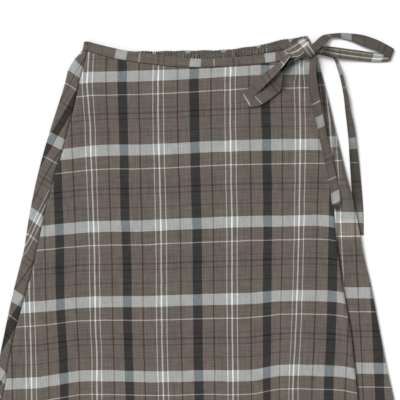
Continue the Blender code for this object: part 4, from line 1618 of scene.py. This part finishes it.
# Crosswise repeats: down the view for the tails, by sections for the loops
tail_left_crosswise = smooth_curve(
    ((50.0, 0.38), (80.0, 0.34), (95.0, 0.30), (102.9, 0.249), (121.7, 0.0), (150.0, -0.375), (210.0, -1.171))
)
tail_right_crosswise = smooth_curve(((50.0, -0.24), (69.2, 0.0), (143.4, 1.0), (162.6, 1.249), (217.5, 2.0)))
loop_left_crosswise = smooth_curve(
    (
        (0.0, -0.05), (6.0, 0.504), (8.3, 0.756), (10.0, 0.922), (11.2, 0.950), (13.3, 1.10),
        (16.3, 1.356), (22.0, 1.76),
    )
)
loop_right_crosswise = smooth_curve(
    (
        (0.0, 0.50), (1.0, 0.42), (2.0, 0.33), (3.0, 0.249), (4.45, 0.0), (6.1, -0.244), (8.0, -0.50),
        (10.0, -0.66), (12.45, -0.8515), (13.8, -1.09), (15.0, -1.29), (17.0, -1.56), (18.0, -1.70),
    )
)


# Stretches of the ties, by their sections, and the painted shade they take; a few are painted paler
LOOP_LEFT_EDGE_LINE = (1.7, 4.2)
LOOP_LEFT_PALE_EDGE = (1.8, 2.2, 4.2, 4.6)
LOOP_LEFT_TURN = (15.0, 16.4, 18.0, 19.0)
LOOP_LEFT_HOLLOW = (18.8, 19.3, 19.8, 20.2)
LOOP_LEFT_SHADED_BY_BLACK_BAR = (18.8, 19.5, 20.6, 21.2)
LOOP_LEFT_AT_KNOT = (19.8, 20.2)
LOOP_LEFT_FACES_CHANGE = (10.6, 11.2)
LOOP_LEFT_SHIFT_TO_BLACK_BAR = 0.14
LOOP_LEFT_SHADE = 0.04
LOOP_LEFT_PALER = 0.15
LOOP_LEFT_PALE_ACROSS = (0.70, 0.95)
LOOP_LEFT_HOLLOW_SHADE = 0.72
LOOP_LEFT_TURN_SHADE = 0.10
LOOP_LEFT_EDGE_SHADE = 0.56
LOOP_LEFT_EDGE_ACROSS = (0.26, 0.42)
LOOP_RIGHT_UPPER = (11.0, 9.0)
LOOP_RIGHT_UPPER_SHADE = 0.13
LOOP_RIGHT_CREASED = (15.6, 16.8)
LOOP_RIGHT_CREASE_SHADE = 0.40
TAIL_LEFT_END = (11.2, 11.5)
TAIL_LEFT_END_SHADE = 0.36
TAIL_LEFT_UPPER = (12.0, 6.0)
TAIL_LEFT_UPPER_SHADE = 0.08
TAIL_LEFT_STANDS_OFF = (2.0, 4.0)
TAIL_LEFT_EDGE_ACROSS = (0.25, 0.0)
TAIL_LEFT_EDGE_SHADE = 0.12
TAIL_RIGHT_UPPER = (4.5, 3.0)
TAIL_RIGHT_UPPER_SHADE = 0.12
TAIL_RIGHT_SHADED = (2.6, 4.5, 12.2, 13.2)
TAIL_RIGHT_SHADE = 0.22
TAIL_RIGHT_EDGE_SHADE = 0.16
TAIL_RIGHT_EDGE_ACROSS = (0.75, 0.0)
# The shade's share before the tail's end, and what it gains towards it
TAIL_RIGHT_SHADE_SHARE = (0.55, 0.45)
TAIL_RIGHT_SHADE_GAINS = (9.8, 11.0)


def plain_lengthwise(s):
    return PLAIN_START + PLAIN_WIDTH * s


def lined_lengthwise(s):
    return LINES_START + LINES_WIDTH * s


def tail_lengthwise(face, s):
    return plain_lengthwise(s) if face > 0 else lined_lengthwise(s)


def tail_left_check(at, face, s):
    first, second = edge_points(tail_left_curves, at)
    down = pixel_place(0.0, (first.y + second.y) / 2)[1]
    down += TAIL_LEFT_SLANT * (from_first_edge(face, s) - 0.5) * (second.x - first.x) / PIXEL_SIZE
    return tail_lengthwise(face, s), tail_left_crosswise(down)


def tail_right_check(at, face, s):
    first, second = edge_points(tail_right_curves, at)
    down = pixel_place(0.0, (first.y + second.y) / 2)[1]
    return tail_lengthwise(face, s), tail_right_crosswise(down)


def loop_left_check(at, face, s):
    if face > 0:
        edge_line = LOOP_LEFT_EDGE_LINE[0] < at < LOOP_LEFT_EDGE_LINE[1] and s > 0.99
        return (0.0 if edge_line else plain_lengthwise(s)), loop_left_crosswise(at)
    # Painted shade: in the hollow the lower strand's check is moved onto its black bar
    black_bar_shade = LOOP_LEFT_SHIFT_TO_BLACK_BAR * within(at, *LOOP_LEFT_SHADED_BY_BLACK_BAR)
    shift = SECOND_FACE_SHIFT * smooth(at, *LOOP_LEFT_FACES_CHANGE)
    return plain_lengthwise(s) + black_bar_shade, loop_left_crosswise(at) + shift


def loop_right_check(at, face, s):
    if face > 0:
        return lined_lengthwise(s), loop_right_crosswise(at) - SECOND_FACE_SHIFT
    return plain_lengthwise(s), loop_right_crosswise(at)


def tail_left_shade(at, face, s):
    """Darker at its end, and painted shade along the left, where the tie stands off the over panel."""
    if face < 0:
        return 0.0
    upper = TAIL_LEFT_UPPER_SHADE * smooth(at, *TAIL_LEFT_UPPER)
    edge = TAIL_LEFT_EDGE_SHADE * smooth(s, *TAIL_LEFT_EDGE_ACROSS) * smooth(at, *TAIL_LEFT_STANDS_OFF)
    return upper + edge + TAIL_LEFT_END_SHADE * smooth(at, *TAIL_LEFT_END)


def tail_right_shade(at, face, s):
    """Painted shadow of the skirt's right edge, most at its own left edge and towards its end."""
    if face < 0:
        return 0.0
    beside = TAIL_RIGHT_SHADE + TAIL_RIGHT_EDGE_SHADE * smooth(s, *TAIL_RIGHT_EDGE_ACROSS)
    before, gained = TAIL_RIGHT_SHADE_SHARE
    under_edge_of_skirt = before + gained * smooth(at, *TAIL_RIGHT_SHADE_GAINS)
    upper = TAIL_RIGHT_UPPER_SHADE * smooth(at, *TAIL_RIGHT_UPPER)
    return upper + within(at, *TAIL_RIGHT_SHADED) * beside * under_edge_of_skirt


def loop_left_shade(at, face, s):
    """A paler edge and a little painted shade on the upper strand; painted shade on the lower one, darkest in
    the hollow under the band's pleats.
    """
    if face > 0:
        paler = within(at, *LOOP_LEFT_PALE_EDGE) * smooth(s, *LOOP_LEFT_PALE_ACROSS)
        return LOOP_LEFT_SHADE - LOOP_LEFT_PALER * paler
    hollow = LOOP_LEFT_HOLLOW_SHADE * within(at, *LOOP_LEFT_HOLLOW)
    turn = LOOP_LEFT_TURN_SHADE * within(at, *LOOP_LEFT_TURN)
    edges = LOOP_LEFT_SHADE + LOOP_LEFT_EDGE_SHADE * smooth(abs(s - 0.5), *LOOP_LEFT_EDGE_ACROSS)
    return hollow + turn + edges * smooth(at, *LOOP_LEFT_AT_KNOT)


def loop_right_shade(at, face, s):
    """Painted shade, a little on the upper strand and in the crease of the lower one at the knot."""
    upper = LOOP_RIGHT_UPPER_SHADE * smooth(at, *LOOP_RIGHT_UPPER)
    return upper + LOOP_RIGHT_CREASE_SHADE * smooth(at, *LOOP_RIGHT_CREASED)


KNOT_STEPS_ROUND = 56
KNOT_ROWS = 26
KNOT_CLOTH = 0.8
KNOT_FOLD = 0.55
KNOT_FOLD_WAVES = (5.5, 8.0)
KNOT_FOLD_SWAY = 0.8
# How its ends round off across and upwards: the power, and the share that is lost
KNOT_WIDE_END = (3.0, 0.45)
KNOT_HIGH_END = (3.2, 0.62)
KNOT_SQUARENESS = 0.8
# Repeats from the knot's middle to its edge, and the share across where its white three lies
KNOT_LENGTHWISE = 0.0909
KNOT_THREE_AT = 0.39
KNOT_CROSSWISE = (0.30, 0.41)


def rounded(part):
    """A sine or cosine, squared off a little."""
    return math.copysign(abs(part) ** KNOT_SQUARENESS, part)


def knot_fold(s, angle):
    """Folds in the knot's strip, none at its two ends."""
    sway = KNOT_FOLD_SWAY * math.sin(angle)
    waves = math.sin(KNOT_FOLD_WAVES[0] * s + sway) * math.cos(KNOT_FOLD_WAVES[1] * s)
    return KNOT_FOLD * waves * (1 - s * s)


def knot_end(s, power, lost):
    return 1 - abs(s) ** power * lost


def make_knot():
    """A strip wrapped round the ties, with folds that run round it."""
    cos_turn = math.cos(KNOT_TURN)
    sin_turn = math.sin(KNOT_TURN)
    spots = []
    for round_share in shares(KNOT_STEPS_ROUND + 1):
        angle = 2 * math.pi * round_share
        line = []
        for share in shares(KNOT_ROWS):
            s = -1 + 2 * share
            fold = knot_fold(s, angle)
            wide = KNOT_HALF[1] * knot_end(s, *KNOT_WIDE_END) + fold
            high = KNOT_HALF[2] * knot_end(s, *KNOT_HIGH_END) + fold
            x = KNOT_HALF[0] * s
            y = wide * rounded(math.cos(angle))
            point = (
                KNOT_CENTRE[0] + x * cos_turn - y * sin_turn,
                KNOT_CENTRE[1] + x * sin_turn + y * cos_turn,
                KNOT_CENTRE[2] + high * rounded(math.sin(angle)),
            )
            crosswise = KNOT_CROSSWISE[0] + KNOT_CROSSWISE[1] * round_share
            line.append(Spot(point, (KNOT_LENGTHWISE * (s - KNOT_THREE_AT), crosswise)))
        spots.append(line)
    return give_wall(cloth_mesh("knot_wrap", spots, False, tie_cloth), KNOT_CLOTH, -1.0)


def make_tie(name, sections, steps, check, shade):
    return tube_piece(name, sections, steps, TIE_THICKNESS, tie_cloth, check, shade=shade)


over_panel = make_over_panel()
under_panel = make_under_panel()
back_panel = make_back_panel()
over_band = make_over_band()
under_band = make_under_band()
back_band = make_back_band()
loop_left = make_tie("loop_left_tube", LOOP_LEFT, LOOP_LEFT_STEPS, loop_left_check, loop_left_shade)
loop_right = make_tie("loop_right_tube", LOOP_RIGHT, LOOP_RIGHT_STEPS, loop_right_check, loop_right_shade)
tail_left = make_tie("tail_left_tube", tail_left_rows, TAIL_STEPS, tail_left_check, tail_left_shade)
tail_right = make_tie("tail_right_tube", TAIL_RIGHT, TAIL_STEPS, tail_right_check, tail_right_shade)
knot = make_knot()


# Stitching: short stitches of thread along lines on the cloth

STITCH_PITCH = 2.9
STITCH_LENGTH = 2.2
STITCH_LEAN = 0.06
THREAD_THICKNESS = 0.34
STITCH_SEED = 7
BAND_STITCH_INSET = 1.6
TIE_STITCH_INSET = 1.2
STITCH_LINE_STEPS = 160
# The last section of the left loop that is sewn, short of the hollow at the knot
LOOP_LEFT_STITCHED_TO = 18.4
BACK_BAND_STITCHED = (0.37, 0.90)


def stitch_tree():
    """Stitches along a guide's edges: an oval of thread at every pitch, a little uneven."""
    tree = bpy.data.node_groups.new("stitches_along_a_line", "GeometryNodeTree")
    sockets = tree.interface
    for name, kind in (
        ("Geometry", "Geometry"),
        ("Pitch", "Float"),
        ("Stitch length", "Float"),
        ("Thread thickness", "Float"),
        ("Seed", "Int"),
        ("Thread", "Material"),
    ):
        sockets.new_socket(name, in_out="INPUT", socket_type="NodeSocket" + kind)
    sockets.new_socket("Geometry", in_out="OUTPUT", socket_type="NodeSocketGeometry")
    make = Nodes(tree)
    given = make.add("NodeGroupInput").outputs

    line = make.add("GeometryNodeMeshToCurve", {"Mesh": given["Geometry"]}).outputs["Curve"]
    pitch = {"Curve": line, "Length": given["Pitch"]}
    spaced = make.add("GeometryNodeResampleCurve", pitch, mode="LENGTH").outputs["Curve"]

    tangent = make.add("GeometryNodeInputTangent").outputs["Tangent"]
    least = (-STITCH_LEAN, -STITCH_LEAN, 0.0)
    most = (STITCH_LEAN, STITCH_LEAN, 0.0)
    uneven = {"Min": least, "Max": most, "Seed": given["Seed"]}
    wander = make.add("FunctionNodeRandomValue", uneven, data_type="FLOAT_VECTOR").outputs[0]
    lean = make.add("ShaderNodeVectorMath", {0: tangent, 1: wander}, operation="ADD").outputs[0]
    turn = make.add("FunctionNodeAlignRotationToVector", {"Vector": lean}, axis="X").outputs["Rotation"]

    oval = make.add("GeometryNodeMeshUVSphere", {"Segments": 6, "Rings": 4, "Radius": 0.5}).outputs["Mesh"]
    thick = given["Thread thickness"]
    size = make.add("ShaderNodeCombineXYZ", {"X": given["Stitch length"], "Y": thick, "Z": thick}).outputs[0]
    stitch = make.add("GeometryNodeTransform", {"Geometry": oval, "Scale": size}).outputs["Geometry"]

    placed = {"Points": spaced, "Instance": stitch, "Rotation": turn}
    stitched = make.add("GeometryNodeInstanceOnPoints", placed).outputs["Instances"]
    real = make.add("GeometryNodeRealizeInstances", {"Geometry": stitched}).outputs["Geometry"]
    soft = make.add("GeometryNodeSetShadeSmooth", {"Geometry": real}).outputs["Geometry"]
    threaded = make.add("GeometryNodeSetMaterial", {"Geometry": soft, "Material": given["Thread"]})
    make.add("NodeGroupOutput", {"Geometry": threaded.outputs["Geometry"]})
    return tree


stitches_along_a_line = stitch_tree()


def sew(name, lines):
    """Stitches along lines of points in millimetres, as one plain mesh."""
    points = []
    edges = []
    for line in lines:
        start = len(points)
        points += [(x * MM, y * MM, max(z, THREAD_THICKNESS) * MM) for x, y, z in line]
        edges += [(start + k, start + k + 1) for k in range(len(line) - 1)]
    mesh = bpy.data.meshes.new(name + "_guide")
    mesh.from_pydata(points, edges, [])
    guide = show(name + "_guide", mesh)
    sewing = guide.modifiers.new("stitches", "NODES")
    sewing.node_group = stitches_along_a_line
    values = {
        "Pitch": STITCH_PITCH * MM,
        "Stitch length": STITCH_LENGTH * MM,
        "Thread thickness": THREAD_THICKNESS * MM,
        "Seed": STITCH_SEED,
        "Thread": thread,
    }
    for item in stitches_along_a_line.interface.items_tree:
        if item.in_out == "INPUT" and item.name in values:
            sewing[item.identifier] = values[item.name]
    shown = guide.evaluated_get(bpy.context.evaluated_depsgraph_get())
    stitches = bpy.data.meshes.new_from_object(shown)
    stitches.name = name
    guide.modifiers.remove(sewing)
    bpy.data.objects.remove(guide)
    return show(name, stitches)


def hem_line(left, right, surface, side):
    """A line along a panel's hem, on the face that side gives, 1 up and -1 down."""
    line = []
    for share in shares(STITCH_LINE_STEPS):
        x = left + share * (right - left)
        y = hem(x) + HEM_DEPTH - HEM_STITCH_INSET
        line.append((x, y, surface(x, y) + side * PANEL_CLOTH / 2))
    return line


def free_edge_line():
    line = []
    top = front_bottom(over_edge(200.0)) - 1.0
    low = hem(over_edge(-600.0)) + HEM_DEPTH
    for share in shares(2 * STITCH_LINE_STEPS):
        y = top + share * (low - top)
        x = free_edge(y) - EDGE_HEM + HEM_STITCH_INSET
        line.append((x, y, over_surface(x, y) + PANEL_CLOTH / 2))
    return line


def tube_line(sections, steps, thickness, face, inset, edge, shape=open_tube, end=None):
    """A line on a tube's face, inset from its first edge, -1, or its second, 1, up to the section end."""
    curves = strip_curves(sections)
    last = len(sections) - 1
    line = []
    for i in range(round((end or last) * steps) + 1):
        at = i / steps
        first, second, normal = tube_frame(curves, at, last)
        width = (second - first).length
        across = (second - first) / width
        out = max(width / 2 - inset, 0.0) * edge
        s = min(1.0, max(0.0, (face * out / flat_half(width, thickness) + 1) / 2))
        lift = face * thickness / 2 + shape(at, face, s)
        line.append((first + second) / 2 + across * out + normal * lift)
    return line


def band_lines(sections, steps, shape=open_tube):
    """Both edges of a flat band, on both faces."""
    return [
        tube_line(sections, steps, BAND_THICKNESS, face, BAND_STITCH_INSET, edge, shape)
        for face in (1, -1)
        for edge in (-1, 1)
    ]


def tie_lines(sections, steps, end=None):
    """The tie's sewn edge, on both faces."""
    return [tube_line(sections, steps, TIE_THICKNESS, face, TIE_STITCH_INSET, 1, end=end) for face in (1, -1)]


def back_band_lines():
    return [
        [back_band_place(i, face, down)[0] for i in range(2, BACK_BAND_COLUMNS, 2)]
        for face in (1, -1)
        for down in BACK_BAND_STITCHED
    ]


# Where the hems' ends are read: at a panel's own edge, and at the folds
EDGE_Y = -605.0
FOLD_Y = -600.0
over_hem = hem_line(shown_seam(EDGE_Y) + 1.0, free_edge(EDGE_Y) - 2.0, over_surface, 1)
under_hem = hem_line(under_edge(EDGE_Y) + 2.0, right_fold(FOLD_Y) - 4.0, under_surface, 1)
back_hem = hem_line(left_fold(FOLD_Y) + 5.0, right_fold(FOLD_Y) - 4.0, back_surface, -1)
over_stitches = sew("over_panel_stitches", [over_hem, free_edge_line()])
under_stitches = sew("under_panel_stitches", [under_hem])
back_stitches = sew("back_panel_stitches", [back_hem])
over_band_stitches = sew("over_band_stitches", band_lines(over_band_rows, OVER_BAND_STEPS, over_band_shape))
under_band_stitches = sew("under_band_stitches", band_lines(under_band_rows, UNDER_BAND_STEPS))
back_band_stitches = sew("back_band_stitches", back_band_lines())
loop_left_stitches = sew("loop_left_stitches", tie_lines(LOOP_LEFT, LOOP_LEFT_STEPS, LOOP_LEFT_STITCHED_TO))
loop_right_stitches = sew("loop_right_stitches", tie_lines(LOOP_RIGHT, LOOP_RIGHT_STEPS))
tail_left_stitches = sew("tail_left_stitches", tie_lines(tail_left_rows, TAIL_STEPS))
tail_right_stitches = sew("tail_right_stitches", tie_lines(TAIL_RIGHT, TAIL_STEPS))


# What each piece is, and what it stands for


def belongs(piece):
    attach(piece, "root")


for piece, node in (
    (over_panel, "front_over_panel"),
    (under_panel, "front_under_panel"),
    (back_panel, "back_panel"),
    (over_band, "waistband_over"),
    (under_band, "waistband_under"),
    (back_band, "waistband_back"),
    (knot, "bow_knot"),
    (loop_left, "bow_loop_left"),
    (loop_right, "bow_loop_right"),
    (tail_left, "tie_tail_left"),
    (tail_right, "tie_tail_right"),
):
    belongs(piece)
    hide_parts(node)

for stitches in (
    over_stitches,
    under_stitches,
    back_stitches,
    over_band_stitches,
    under_band_stitches,
    back_band_stitches,
    loop_left_stitches,
    loop_right_stitches,
    tail_left_stitches,
    tail_right_stitches,
):
    belongs(stitches)
